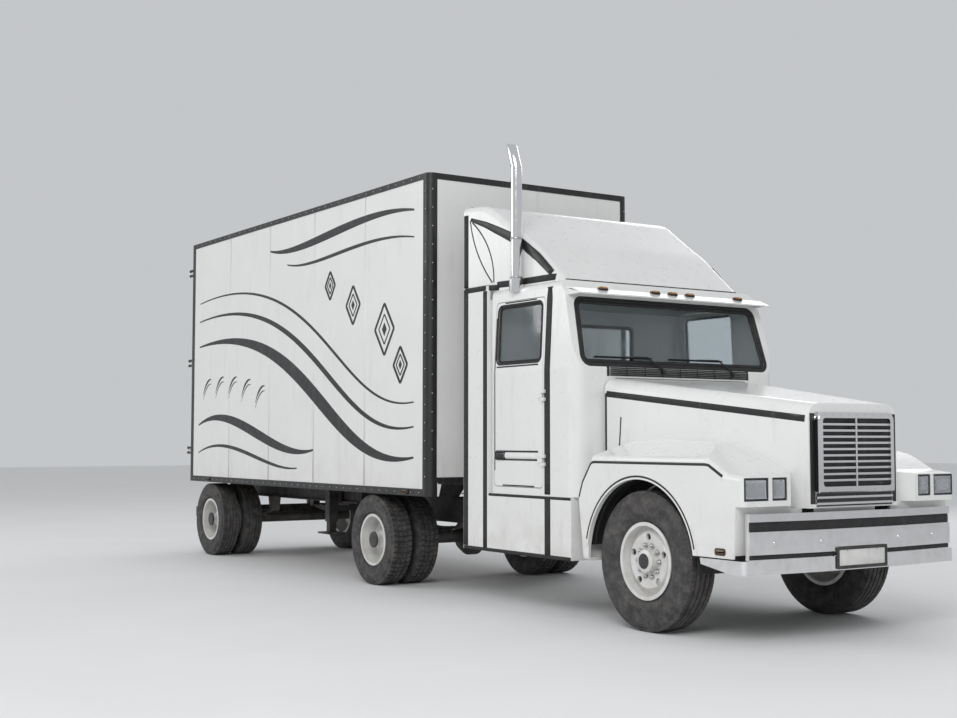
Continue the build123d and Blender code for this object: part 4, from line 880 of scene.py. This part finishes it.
def headlamp_detail():
    """Lamps in place of the plain ones: black bezels, reflectors, bulbs and fluted lenses."""
    low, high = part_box("headlamps")
    front = high.x
    bezels, bowls, lenses, bulbs = builders(4)
    for side in SIDES:
        for inner, outer in ((0.715, 0.865), (0.9, 1.135)):
            y0, y1 = sorted((side * inner, side * outer))
            shape = (y0, y1, low.z, high.z)
            bezels.framed("front", front, 1, shape, (
                (0.001, -0.03, 0.012), (0.001, -0.003, 0.012), (0.004, 0), (0.011, 0), (0.014, -0.005),
                (0.014, -0.03)), 0.01, ring=True)
            bowls.framed("front", front, -1, shape, (
                (0.015, 0.011), (0.02, 0.022), (0.03, 0.034), (0.046, 0.044), (0.064, 0.05)), 0.01)
            bulbs.turned((low.x + 0.006, (y0 + y1) / 2, (low.z + high.z) / 2), (1, 0, 0), (
                (0.013, 0), (0.013, 0.006), (0.009, 0.009), (0.009, 0.024), (0.006, 0.03),
                (0.002, 0.032)), 16)
            lenses.framed("front", front, -1, shape, (
                (0.015, 0.009), (0.015, 0.005), (0.02, 0.003), (0.034, 0.001), (0.058, 0)), 0.01)
    bezels.piece("headlamp_bezels", BLACK, "hood", crease=40)
    bowls.piece("headlamp_reflectors", REFLECTOR, "hood", crease=50)
    bulbs.piece("headlamp_bulbs", GLASS, "hood")
    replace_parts(lenses.piece("headlamp_lenses", LENS, "hood", crease=40), "headlamps")


def grille_dressing():
    """Dark screen behind the bars, and painted shade: black walls beside the surround and black strips behind
    the apron's ribs.
    """
    low, high = grille_low, grille_high
    hole = 0.041
    foot = hood_low.z + 0.112
    dark = Builder()
    dark.framed("front", low.x, 1, (low.y + hole, high.y - hole, foot + hole, high.z - hole),
                ((0, 0.0015), (0, 0.0035)), 0.024)
    # Black walls beside the surround: painted shade of the surround's sides.
    for side in SIDES:
        wall = side * high.y
        dark.box((hood_high.x + 0.0005, wall - side * 0.0005, foot + 0.012),
                 (high.x - 0.01, wall + side * 0.0015, high.z - 0.06))
    # Black strips behind the apron's ribs: painted shade of openings, so that the apron reads as more grille.
    apron = hood_high.x + 0.0065
    for z0, z1 in ((0.0005, 0.0115), (0.0285, 0.0575), (0.0735, 0.0985)):
        dark.box((apron, low.y + 0.004, low.z + z0), (apron + 0.0015, high.y - 0.004, low.z + z1))
    dark.piece("grille_screen_and_painted_shade", BLACK, "hood", smooth=False)
    screws = Builder()
    for z in (foot + 0.02, high.z - 0.02):
        for i in range(-4, 5):
            screw(screws, (high.x - 0.001, (high.y - 0.06) * i / 4, z), 0.006)
    screws.piece("grille_screws", STEEL, "hood")


def bumper_dressing():
    """Black inserts in the bumper's grooves, its bolts and the blank plate in its black holder."""
    skin = skin_of("bumper")
    reach = bumper_high.y - 0.066
    inserts = Builder()
    for low, high, start in ((0.625, 0.662, 0.274), (0.82, 0.895, 0)):
        z = (low + high) / 2
        width = high - low - 0.003
        for side in SIDES:
            inserts.lines(skin, "front", ((side * start, z, side * reach, z, width, 0.005),), 0.03)
    inserts.piece("bumper_inserts", SEAL)
    bolts = Builder()
    for y in (0.42, 0.86, -0.42, -0.86):
        bolts.on_face(probe(skin, "front", y, 0.74),
                      ((0.017, 0), (0.017, 0.004), (0.013, 0.008), (0.005, 0.01)), 20)
    bolts.piece("bumper_bolts", BRIGHT)
    face = bumper_high.x
    shape = (-0.27, 0.27, 0.53, 0.69)
    holder = Builder()
    holder.framed("front", face, 1, shape, (
        (-0.002, -0.01), (-0.002, 0.002), (0.001, 0.004), (0.018, 0.004), (0.021, 0.001), (0.021, -0.006)),
        0.01, ring=True)
    holder.piece("plate_holder_rim", BLACK)
    plate = Builder()
    plate.framed("front", face, 1, shape, ((0.022, -0.0055), (0.022, -0.003), (0.024, -0.002)), 0.008)
    plate.piece("blank_plate", RIM_WHITE, crease=30)
    screws = Builder()
    for y in (-0.16, 0.16):
        screw(screws, (face - 0.003, y, 0.664), 0.008)
    screws.piece("plate_screws", STEEL)


# The cab's outer detail
def cowl():
    """The black vent panel under the windshield, its black partly the panel's own colour and partly painted
    shade, and two parked wipers.
    """
    cab = skin_of("cab_shell")
    half = 0.8
    low = 2.008
    high = 2.084
    rows = 5
    bars = 8
    row = (high - low) / rows
    levels = [low + (high - low) * (k + 0.5) / rows for k in range(rows)]
    places = [-half + 2 * half * i / bars for i in range(1, bars)]
    # The vent panel is black both as a real panel and as painted shade of the cowl and wiper area.
    panel = Builder()
    panel.lines(cab, "front", [(-half + 0.02, z, half - 0.02, z, row - 0.001, 0.006) for z in levels], 0.1)
    panel.lines(cab, "front", [(y, low, y, high, 0.03, 0.008) for y in (-half, half)], 0.03)
    panel.lines(cab, "front", [(y, low, y, high, 0.008, 0.009) for y in places], 0.03)
    panel.piece("cowl_vent", BLACK)
    pane = skin_of("cab_glass")
    arms, blades = builders(2)
    height = shield_low + 0.05
    for pivot in (-0.2, 0.62):
        foot = probe(cab, "front", pivot, shield_low - 0.058)
        arms.on_face(foot, ((0.02, 0), (0.02, 0.02), (0.015, 0.028), (0.006, 0.03)), 18, -0.003)
        elbow = probe(pane, "front", pivot - 0.16, height)
        tip = probe(pane, "front", pivot - 0.4, height)
        arms.tube([foot[0] + foot[1] * 0.022, elbow[0] + elbow[1] * 0.038, tip[0] + tip[1] * 0.026], 0.0065)
        met = [probe(pane, "front", pivot - 0.1 - 0.62 * i / 8, height) for i in range(9)]
        run = [(point + normal * 0.001, normal) for point, normal in met]
        blades.band([p for p, n in run], [n for p, n in run], 0.011, 0.016)
        blades.tube([p + n * 0.02 for p, n in run], 0.005)
    arms.piece("wiper_arms", BLACK)
    blades.piece("wiper_blades", SEAL)


def roof_markers():
    """Amber marker lamps on the visor's front edge and oval markers low on the fenders."""
    skin = skin_of("sun_visor")
    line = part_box("sun_visor")[1].x - 0.105
    bases, lamps = builders(2)
    for y in (-0.78, -0.2, 0, 0.2, 0.78):
        x, _, z = probe(skin, "top", line, y)[0]
        bases.framed("top", z, 1, around(x, y, 0.032, 0.045),
                     ((0, -0.004), (0, 0.006), (0.003, 0.009)), 0.014)
        lamps.framed("top", z, 1, around(x, y, 0.028, 0.041),
                     ((0, 0.009), (0.001, 0.018), (0.006, 0.024), (0.014, 0.026)), 0.012)
    fender = skin_of("fenders")
    markers, rims = builders(2)
    for hand, side in HANDS.items():
        x, y, _ = probe(fender, hand, front_axle_x + 0.9, 0.675)[0]
        for builder, grow, depth in ((rims, 0.006, 0.005), (markers, 0, 0.012)):
            builder.framed("side", y, side, around(x, 0.675, 0.05 + grow, 0.02 + grow),
                           ((0, -0.003), (0, depth * 0.6), (0.005, depth)), 0.018)
    bases.piece("marker_bases", BLACK)
    lamps.piece("marker_lamps", AMBER)
    rims.piece("side_marker_rims", BLACK, "hood")
    markers.piece("side_marker_lamps", AMBER, "hood")


def door_detail():
    """Mouldings, rub strips and handles of the cab doors."""
    for hand, side in HANDS.items():
        body = f"cab_door_{hand}"
        low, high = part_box(body)
        skin = skin_of(body)
        start = low.x + 0.035
        end = high.x - 0.08
        rear = low.x + 0.012
        front = end + 0.06
        middle = low.z + 0.269
        dark = Builder()
        dark.lines(skin, hand, (
            (start, low.z + 0.305, end, low.z + 0.305, 0.016, 0.005),
            (start, low.z + 0.233, end, low.z + 0.233, 0.016, 0.005),
            (start, 2.118, end, 2.118, 0.014, 0.004)), 0.1)
        dark.lines(skin, hand, (
            (low.x + 0.007, low.z + 0.012, low.x + 0.007, high.z - 0.012, 0.012, 0.003),
            (rear, high.z - 0.008, front, high.z - 0.008, 0.012, 0.003),
            (rear, low.z + 0.008, front, low.z + 0.008, 0.012, 0.003)))
        dark.piece(f"door_mouldings_{hand}", SEAL, body)
        pale = Builder()
        pale.lines(skin, hand, ((start, middle, end, middle, 0.052, 0.008),), 0.1)
        pale.piece(f"door_rub_strip_{hand}", WHITE, body)
        y = probe(skin, hand, low.x + 0.09, middle)[0].y
        pan = Builder()
        pan.framed("side", y, side, (low.x + 0.024, low.x + 0.17, middle - 0.04, middle + 0.04),
                   ((0, -0.004), (0, 0.009), (0.004, 0.012), (0.01, 0.012), (0.014, 0.006)), 0.014)
        pan.piece(f"door_handle_pan_{hand}", BLACK, body, crease=40)
        paddle = Builder()
        paddle.framed("side", y, side, (low.x + 0.044, low.x + 0.152, middle - 0.018, middle + 0.016),
                      ((0.004, 0.005), (0, 0.012), (0.001, 0.018), (0.006, 0.02)), 0.008)
        paddle.piece(f"door_handle_{hand}", BLACK, body, crease=40)


# Line work and fittings of the box
def box_line_work():
    """A generic black design on both box sides: sweeping ribbons, a row of lozenges and feathered strokes."""
    length = wall_high.x - wall_low.x
    height = wall_high.z - wall_low.z
    thick = 0.0012

    def at(s, t):
        return wall_high.x - s * length, wall_low.z + t * height

    def diamond(x, z, reach_x, reach_z):
        return [(x - reach_x, z), (x, z - reach_z), (x + reach_x, z), (x, z + reach_z)]

    ribbons = (
        ((0.03, 0.1), (0.34, 0.02), (0.42, 0.66), (0.97, 0.56), 0.02, 0.17),
        ((0.03, 0.2), (0.32, 0.13), (0.4, 0.78), (0.97, 0.67), 0.016, 0.07),
        ((0.03, 0.28), (0.3, 0.23), (0.38, 0.87), (0.97, 0.75), 0.014, 0.038),
        ((0.03, 0.91), (0.22, 0.97), (0.46, 0.84), (0.6, 0.9), 0.02, 0.09),
        ((0.03, 0.82), (0.2, 0.88), (0.4, 0.78), (0.52, 0.83), 0.014, 0.04),
        ((0.4, 0.12), (0.58, 0.06), (0.78, 0.34), (0.97, 0.22), 0.02, 0.12),
        ((0.47, 0.05), (0.62, 0.03), (0.8, 0.2), (0.97, 0.1), 0.014, 0.046))
    lozenges = ((0.13, 0.53, 0.115), (0.245, 0.63, 0.09), (0.335, 0.715, 0.068), (0.075, 0.405, 0.08))
    feathers = ((0.62, 0.37), (0.69, 0.4), (0.76, 0.415), (0.83, 0.42), (0.9, 0.415))
    for hand, side in HANDS.items():
        wall_y = side * (wall_high.y + 0.0002)
        art = Builder()

        def stroke(route, widths, closed=False):
            """A flat black line on the wall."""
            points = [(u, wall_y, v) for u, v in route]
            art.band(points, [(0, side, 0)] * len(points), widths, thick, closed, 0.9)

        for *guides, thin, wide in ribbons:
            route = bezier([at(*guide) for guide in guides], 48)
            stroke(route, tapered(thin, wide, thin, len(route)))
        for s, t, reach in lozenges:
            x, z = at(s, t)
            for grow, wide in ((1, 0.036), (0.58, 0.02)):
                corners = diamond(x, z, reach * 1.7 * grow, reach * 2.3 * grow)
                stroke(spaced(rounded(corners, 0.02 * grow), 0.05, True), wide, True)
            core = diamond(x, z, reach * 0.42, reach * 0.62)
            art.joined([loop("side", core, 0, y) for y in (wall_y, wall_y + side * thick)], ends=(1, 1))
        for s, t in feathers:
            x, z = at(s, t)
            for drop, wide in ((0, 0.034), (0.06, 0.018)):
                top = z - drop
                guides = ((0, 0), (-0.1, 0.01), (-0.2, -0.06), (-0.27, -0.2))
                route = bezier([(x + u, top + v) for u, v in guides], 14)
                stroke(route, tapered(0.006, wide, 0.004, len(route)))
        art.piece(f"box_line_work_{hand}", BLACK, "trailer", crease=30)


def rivet(builder, at, axis, radius=0.007):
    """A domed rivet head."""
    builder.turned(at, axis, ((radius, -0.0005), (radius * 0.92, 0.0012), (radius * 0.62, 0.0024),
                              (radius * 0.2, 0.0029)), 8)


def box_fittings():
    """Rivet rows, panel joints and side marker lamps of the box."""
    low, high = wall_low, wall_high
    length = high.x - low.x
    count = int(length / 0.155)
    post = 16
    panels = 5
    rivets, joints, lamps, mounts = builders(4)
    for side in SIDES:
        y = side * box_high.y
        for i in range(count + 1):
            x = low.x + 0.06 + (length - 0.12) * i / count
            for z in (box_low.z + 0.035, box_high.z - 0.03):
                rivet(rivets, (x, y, z), (0, side, 0))
        for i in range(post + 1):
            z = low.z + 0.12 + (high.z - low.z - 0.24) * i / post
            rivet(rivets, (box_high.x - 0.05, y, z), (0, side, 0))
        wall = side * (high.y - 0.0002)
        for k in range(1, panels):
            x = low.x + length * k / panels
            points = [(x, wall, low.z + 0.006), (x, wall, high.z - 0.006)]
            joints.band(points, [(0, side, 0)] * 2, 0.034, 0.0009)
        z = box_low.z + 0.035
        for x in (box_high.x - 0.42, box_low.x + 0.75):
            mounts.framed("side", y, side, around(x, z, 0.055, 0.024),
                          ((0, -0.002), (0, 0.005), (0.003, 0.007)), 0.012)
            lamps.framed("side", y, side, around(x, z, 0.048, 0.018),
                         ((0, 0.006), (0.001, 0.012), (0.006, 0.016), (0.012, 0.017)), 0.01)
    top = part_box("box_front_wall")[1].z
    posts = skin_of("box_frame")
    rows = 15
    for i in range(rows):
        z = top - 0.1 - (top - 1.3) * i / rows
        for side in SIDES:
            rivet(rivets, *probe(posts, "front", side * (box_high.y - 0.055), z))
    rivets.piece("box_rivets", STEEL, "trailer")
    joints.piece("box_panel_joints", BOX_WHITE, "trailer")
    mounts.piece("box_marker_mounts", BLACK, "trailer")
    lamps.piece("box_marker_lamps", AMBER, "trailer")


def tail_detail():
    """Tail lamps on the rear guard, and the rear doors' seals and rivets."""
    rims, lenses = builders(2)
    guard = skin_of("rear_guard")
    rim = ((0.056, 0), (0.056, 0.014), (0.052, 0.018), (0.047, 0.018), (0.047, 0.01))
    lens = ((0.047, 0), (0.047, 0.01), (0.04, 0.015), (0.024, 0.018), (0.006, 0.019))
    for y in (1.05, 0.9, -1.05, -0.9):
        met = probe(guard, "rear", y, 0.535)
        rims.on_face(met, rim, 28)
        lenses.on_face(met, lens, 28, 0.008)
    rims.piece("tail_lamp_rims", BLACK, "trailer")
    lenses.piece("tail_lamp_lenses", RED, "trailer")
    for hand, side in HANDS.items():
        body = f"rear_door_{hand}"
        low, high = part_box(body)
        skin = skin_of(body)
        inner = side * (min(abs(low.y), abs(high.y)) + 0.01)
        outer = side * 1.175
        seal = Builder()
        seal.lines(skin, "rear", [(y, low.z + 0.03, y, high.z - 0.03, 0.022, 0.005) for y in (inner, outer)]
                   + [(inner, z, outer, z, 0.022, 0.005) for z in (low.z + 0.014, high.z - 0.014)], 0.3)
        seal.piece(f"rear_door_seal_{hand}", SEAL, body)
        rivets = Builder()
        for i in range(9):
            z = low.z + 0.1 + (high.z - low.z - 0.2) * i / 8
            for y in (0.075, 1.14):
                rivet(rivets, *probe(skin, "rear", side * y, z), 0.006)
        rivets.piece(f"rear_door_rivets_{hand}", STEEL, body)


# Seats
def swollen(piece):
    """Blows a closed form up under a light inner pressure and keeps each point near its start."""
    cap = 0.022
    frames = 20
    shape = piece.modifiers.new("skin", "REMESH")
    shape.mode = "VOXEL"
    shape.voxel_size = 0.012
    apply_modifiers(piece)
    starts = [v.co.copy() for v in piece.data.vertices]
    cloth = piece.modifiers.new("cloth", "CLOTH")
    for key, number in (
            ("quality", 5), ("mass", 0.3), ("use_pressure", True), ("uniform_pressure_force", 4),
            ("tension_stiffness", 12), ("compression_stiffness", 12), ("bending_stiffness", 0.6)):
        setattr(cloth.settings, key, number)
    cloth.settings.effector_weights.gravity = 0
    cloth.point_cache.frame_start = 1
    cloth.point_cache.frame_end = frames
    for number in range(1, frames + 1):
        bpy.context.scene.frame_set(number)
    apply_modifiers(piece)
    bpy.context.scene.frame_set(1)
    for vertex, start in zip(piece.data.vertices, starts):
        move = vertex.co - start
        if move.length > cap:
            vertex.co = start + move.normalized() * cap
    round_off = piece.modifiers.new("round", "SUBSURF")
    round_off.levels = 1
    apply_modifiers(piece)
    for polygon in piece.data.polygons:
        polygon.use_smooth = True


def pad_form(name, outline, low_y, high_y):
    """A pad from its side outline, with crowned sides, ready to be swollen."""
    inset = 0.018
    middle_x = sum(x for x, z in outline) / len(outline)
    middle_z = sum(z for x, z in outline) / len(outline)
    loops = []
    for step, y in ((inset + 0.022, low_y + inset), (inset + 0.006, low_y + inset + 0.012),
                    (inset, low_y + inset + 0.034), (inset, high_y - inset - 0.034),
                    (inset + 0.006, high_y - inset - 0.012), (inset + 0.022, high_y - inset)):
        pulled = []
        for x, z in outline:
            arm = Vector((x - middle_x, z - middle_z))
            arm = arm * max(0.1, 1 - step * 1.3 / arm.length)
            pulled.append((middle_x + arm.x, middle_z + arm.y))
        loops.append(loop("side", pulled, 0.026, y, 4))
    form = Builder()
    form.joined(loops, ends=(1, 1))
    return form.piece(name, CLOTH)


def seats():
    """Swollen cushions and backs with sewn channels and piping, on dark pedestals."""
    rear = cab_low.x + 0.05
    cushion_line = [(rear + 0.12, 1.37), (rear + 0.62, 1.37), (rear + 0.62, 1.52), (rear + 0.12, 1.5)]
    back_line = [(rear + 0.11, 1.445), (rear + 0.24, 1.445), (rear + 0.13, 2.175), (rear + 0.03, 2.165)]
    pedestals = Builder()
    for hand, side in HANDS.items():
        centre = side * 0.48
        for part, line, half in (("cushion", cushion_line, 0.26), ("back", back_line, 0.24)):
            pad = pad_form(f"seat_{part}_{hand}", line, centre - half, centre + half)
            swollen(pad)
            left = centre - half * 0.8
            right = centre + half * 0.8
            rows = [centre + k * half * 0.44 for k in (-1, 0, 1)]
            if part == "cushion":
                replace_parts(pad, "seats")
                look = "top"
                ends = [(rear + 0.27, y, rear + 0.59, y) for y in rows]
                ends += [(x, left, x, right) for x in (rear + 0.56, rear + 0.29)]
            else:
                look = "front"
                ends = [(y, 1.56, y, 2.1) for y in rows] + [(left, z, right, z) for z in (2.004, 1.626)]
            skin = BVHTree.FromPolygons([v.co for v in pad.data.vertices],
                                        [p.vertices for p in pad.data.polygons])
            seams = Builder()
            seams.lines(skin, look, [(*row, 0.007, 0.003) for row in ends], 0.02)
            seams.piece(f"seat_{part}_piping_{hand}", INTERIOR)
        for back, front, reach, low, high in (
                (0.17, 0.52, 0.18, 1.0505, 1.09), (0.2, 0.49, 0.15, 1.09, 1.29),
                (0.15, 0.56, 0.2, 1.29, 1.382)):
            pedestals.box((rear + back, centre - reach, low), (rear + front, centre + reach, high))
    bevel(pedestals.piece("seat_pedestals", INTERIOR, smooth=False), 0.006)


# Interior and running gear
def dash_detail():
    """Dials, vents and switches on the facia."""
    skin = skin_of("dashboard")
    rings, faces, switches = builders(3)
    for y, z, r in ((0.62, 1.9, 0.04), (0.52, 1.9, 0.04), (0.4, 1.9, 0.052), (0.27, 1.9, 0.052),
                    (0.16, 1.91, 0.03), (0.16, 1.83, 0.03)):
        met = probe(skin, "rear", y, z)
        rings.on_face(met, ((r, 0), (r, 0.007), (r * 0.9, 0.01), (r * 0.84, 0.01), (r * 0.84, 0.004)), 28)
        faces.on_face(met, ((r * 0.84, 0), (r * 0.84, 0.0025), (r * 0.12, 0.003)), 28, 0.002)
        faces.on_face(met, ((r * 0.1, 0), (r * 0.1, 0.004), (r * 0.05, 0.005)), 12, 0.004)
    for k in range(10):
        switches.on_face(probe(skin, "rear", -0.02 - 0.05 * (k % 5), 1.9 - 0.055 * (k // 5)),
                         ((0.017, 0), (0.017, 0.006), (0.012, 0.01), (0.01, 0.016), (0.004, 0.018)), 12)
    levels = [1.86 + 0.016 * k for k in range(5)]
    for y in (-0.42, -0.66, 0.8):
        switches.lines(skin, "rear", [(y - 0.075, z, y + 0.075, z, 0.01, 0.006) for z in levels], 0.05)
    rings.piece("dial_rings", BRIGHT)
    faces.piece("dial_faces", PALE_PLASTIC)
    switches.piece("dash_switches", BLACK, slot="interior")


def running_gear():
    """Stack clamps, tank straps and caps, spring clips and the joints between spring leaves."""
    stack = Builder()
    boot = [v.co for v in nodes["exhaust_stack"].data.vertices if v.co.z < cab_high.z + 0.03]
    boot_x = (min(p.x for p in boot) + max(p.x for p in boot)) / 2
    boot_y = (min(p.y for p in boot) + max(p.y for p in boot)) / 2
    for z in (cab_high.z + 0.075, cab_high.z + 0.42):
        stack.turned((boot_x, boot_y, z), (0, 0, 1),
                     ((0.0495, -0.011), (0.0535, -0.01), (0.0535, 0.01), (0.0495, 0.011)), 40)
    stack.piece("stack_clamps", STEEL)
    low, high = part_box("fuel_tanks")
    skin = skin_of("fuel_tanks")
    steps = 14
    straps = Builder()
    for hand in HANDS:
        for x in (low.x + 0.18, (low.x + high.x) / 2, high.x - 0.18):
            route = [(x, low.z + 0.03 + (high.z - low.z - 0.06) * i / steps) for i in range(steps + 1)]
            straps.band(*laid(skin, hand, route), 0.05, 0.005)
    straps.piece("tank_straps", STEEL, slot="alloy")
    caps = Builder()
    for side in SIDES:
        caps.on_face(probe(skin, "top", high.x - 0.3, side * 0.86), (
            (0.052, 0), (0.052, 0.012), (0.046, 0.016), (0.046, 0.03), (0.038, 0.036), (0.01, 0.038)),
            24, -0.004)
    caps.piece("tank_caps", BLACK, slot="alloy")
    clips, leaves = builders(2)
    springs = skin_of("suspension")
    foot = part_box("suspension")[0].z
    for x in (front_axle_x, drive_axle_x):
        for hand, side in HANDS.items():
            for at in (x - 0.3, x + 0.3):
                y = probe(springs, hand, at, foot + 0.06)[0].y
                clips.box((at - 0.02, y - 0.002, foot + 0.005), (at + 0.02, y + side * 0.004, foot + 0.085))
                clips.turned((at, y + side * 0.003, foot + 0.045), (0, side, 0),
                             ((0.011, 0), (0.011, 0.008), (0.006, 0.01)), 6)
            levels = [foot + 0.02 + 0.024 * k for k in range(3)]
            leaves.lines(springs, hand, [(x - 0.5, z, x + 0.5, z, 0.004, 0.0015) for z in levels], 0.05)
    clips.piece("spring_clips", IRON)
    leaves.piece("spring_leaf_joints", SEAL, slot="iron")


# Stage, light and camera
def stage():
    """A pale floor under the lorry."""
    reach = 60.0
    mesh = bpy.data.meshes.new("studio_floor")
    mesh.from_pydata([(-reach, -reach, 0), (reach, -reach, 0), (reach, reach, 0), (-reach, reach, 0)], [],
                     [(0, 1, 2, 3)])
    floor = bpy.data.objects.new("studio_floor", mesh)
    bpy.context.scene.collection.objects.link(floor)
    f = Finish("floor_paint", Roughness=0.85)
    f.colour(f.spots((0.6, 3), 0.3, 0.7), (0.8, 0.8, 0.8), (0.83, 0.83, 0.83))
    mesh.materials.append(f.done())


def light(name, at, aim, size, power):
    """A large soft lamp."""
    data = bpy.data.lights.new(name, "AREA")
    data.shape = "RECTANGLE"
    data.size, data.size_y = size
    data.energy = power
    lamp = bpy.data.objects.new(name, data)
    lamp.location = at
    lamp.rotation_euler = (Vector(aim) - Vector(at)).to_track_quat("-Z", "Y").to_euler()
    bpy.context.scene.collection.objects.link(lamp)


def studio():
    """Soft lamps and a pale, even world."""
    light("key_light", (14.0, -12.0, 11.0), (0.5, 0.0, 1.5), (9.0, 7.0), 1350)
    light("fill_light", (-9.0, -14.0, 8.0), (-2.0, 0.0, 2.0), (10.0, 6.0), 480)
    light("rear_light", (-6.0, 13.0, 10.0), (0.0, 0.0, 2.0), (10.0, 6.0), 420)
    world = bpy.data.worlds.new("studio")
    bpy.context.scene.world = world
    world.use_nodes = True
    tree = world.node_tree
    tree.nodes.clear()
    soft = tree.nodes.new("ShaderNodeBackground")
    soft.inputs["Color"].default_value = (0.95, 0.975, 1.0, 1.0)
    soft.inputs["Strength"].default_value = 0.58
    output = tree.nodes.new("ShaderNodeOutputWorld")
    tree.links.new(soft.outputs[0], output.inputs[0])


def camera():
    """The drawing's view point, ahead of the lorry on its right, at eye height."""
    image_width = 957
    focal_pixels = 1359.8
    centre_right = 13.6
    centre_up = 4.55
    bearing = radians(146.21)
    rise = radians(3.535)
    data = bpy.data.cameras.new("view")
    data.sensor_width = 36.0
    data.lens = focal_pixels * data.sensor_width / image_width
    data.shift_x = -centre_right / image_width
    data.shift_y = -centre_up / image_width
    data.clip_end = 200.0
    eye = bpy.data.objects.new("view", data)
    ahead = Vector((cos(bearing) * cos(rise), sin(bearing) * cos(rise), sin(rise)))
    eye.location = (front_axle_x + 8.118, -7.939, 1.484)
    eye.rotation_euler = ahead.to_track_quat("-Z", "Y").to_euler()
    bpy.context.scene.collection.objects.link(eye)
    bpy.context.scene.camera = eye


dress_nodes()
tyres()
wheel_trim()
window_rubbers()
cab_trims()
fairing_trims()
hood_trims()
fender_trims()
wheel_arch_liners()
headlamp_detail()
grille_dressing()
bumper_dressing()
cowl()
roof_markers()
door_detail()
box_line_work()
box_fittings()
tail_detail()
seats()
dash_detail()
running_gear()
stage()
studio()
camera()
bpy.context.scene.view_settings.view_transform = "Standard"
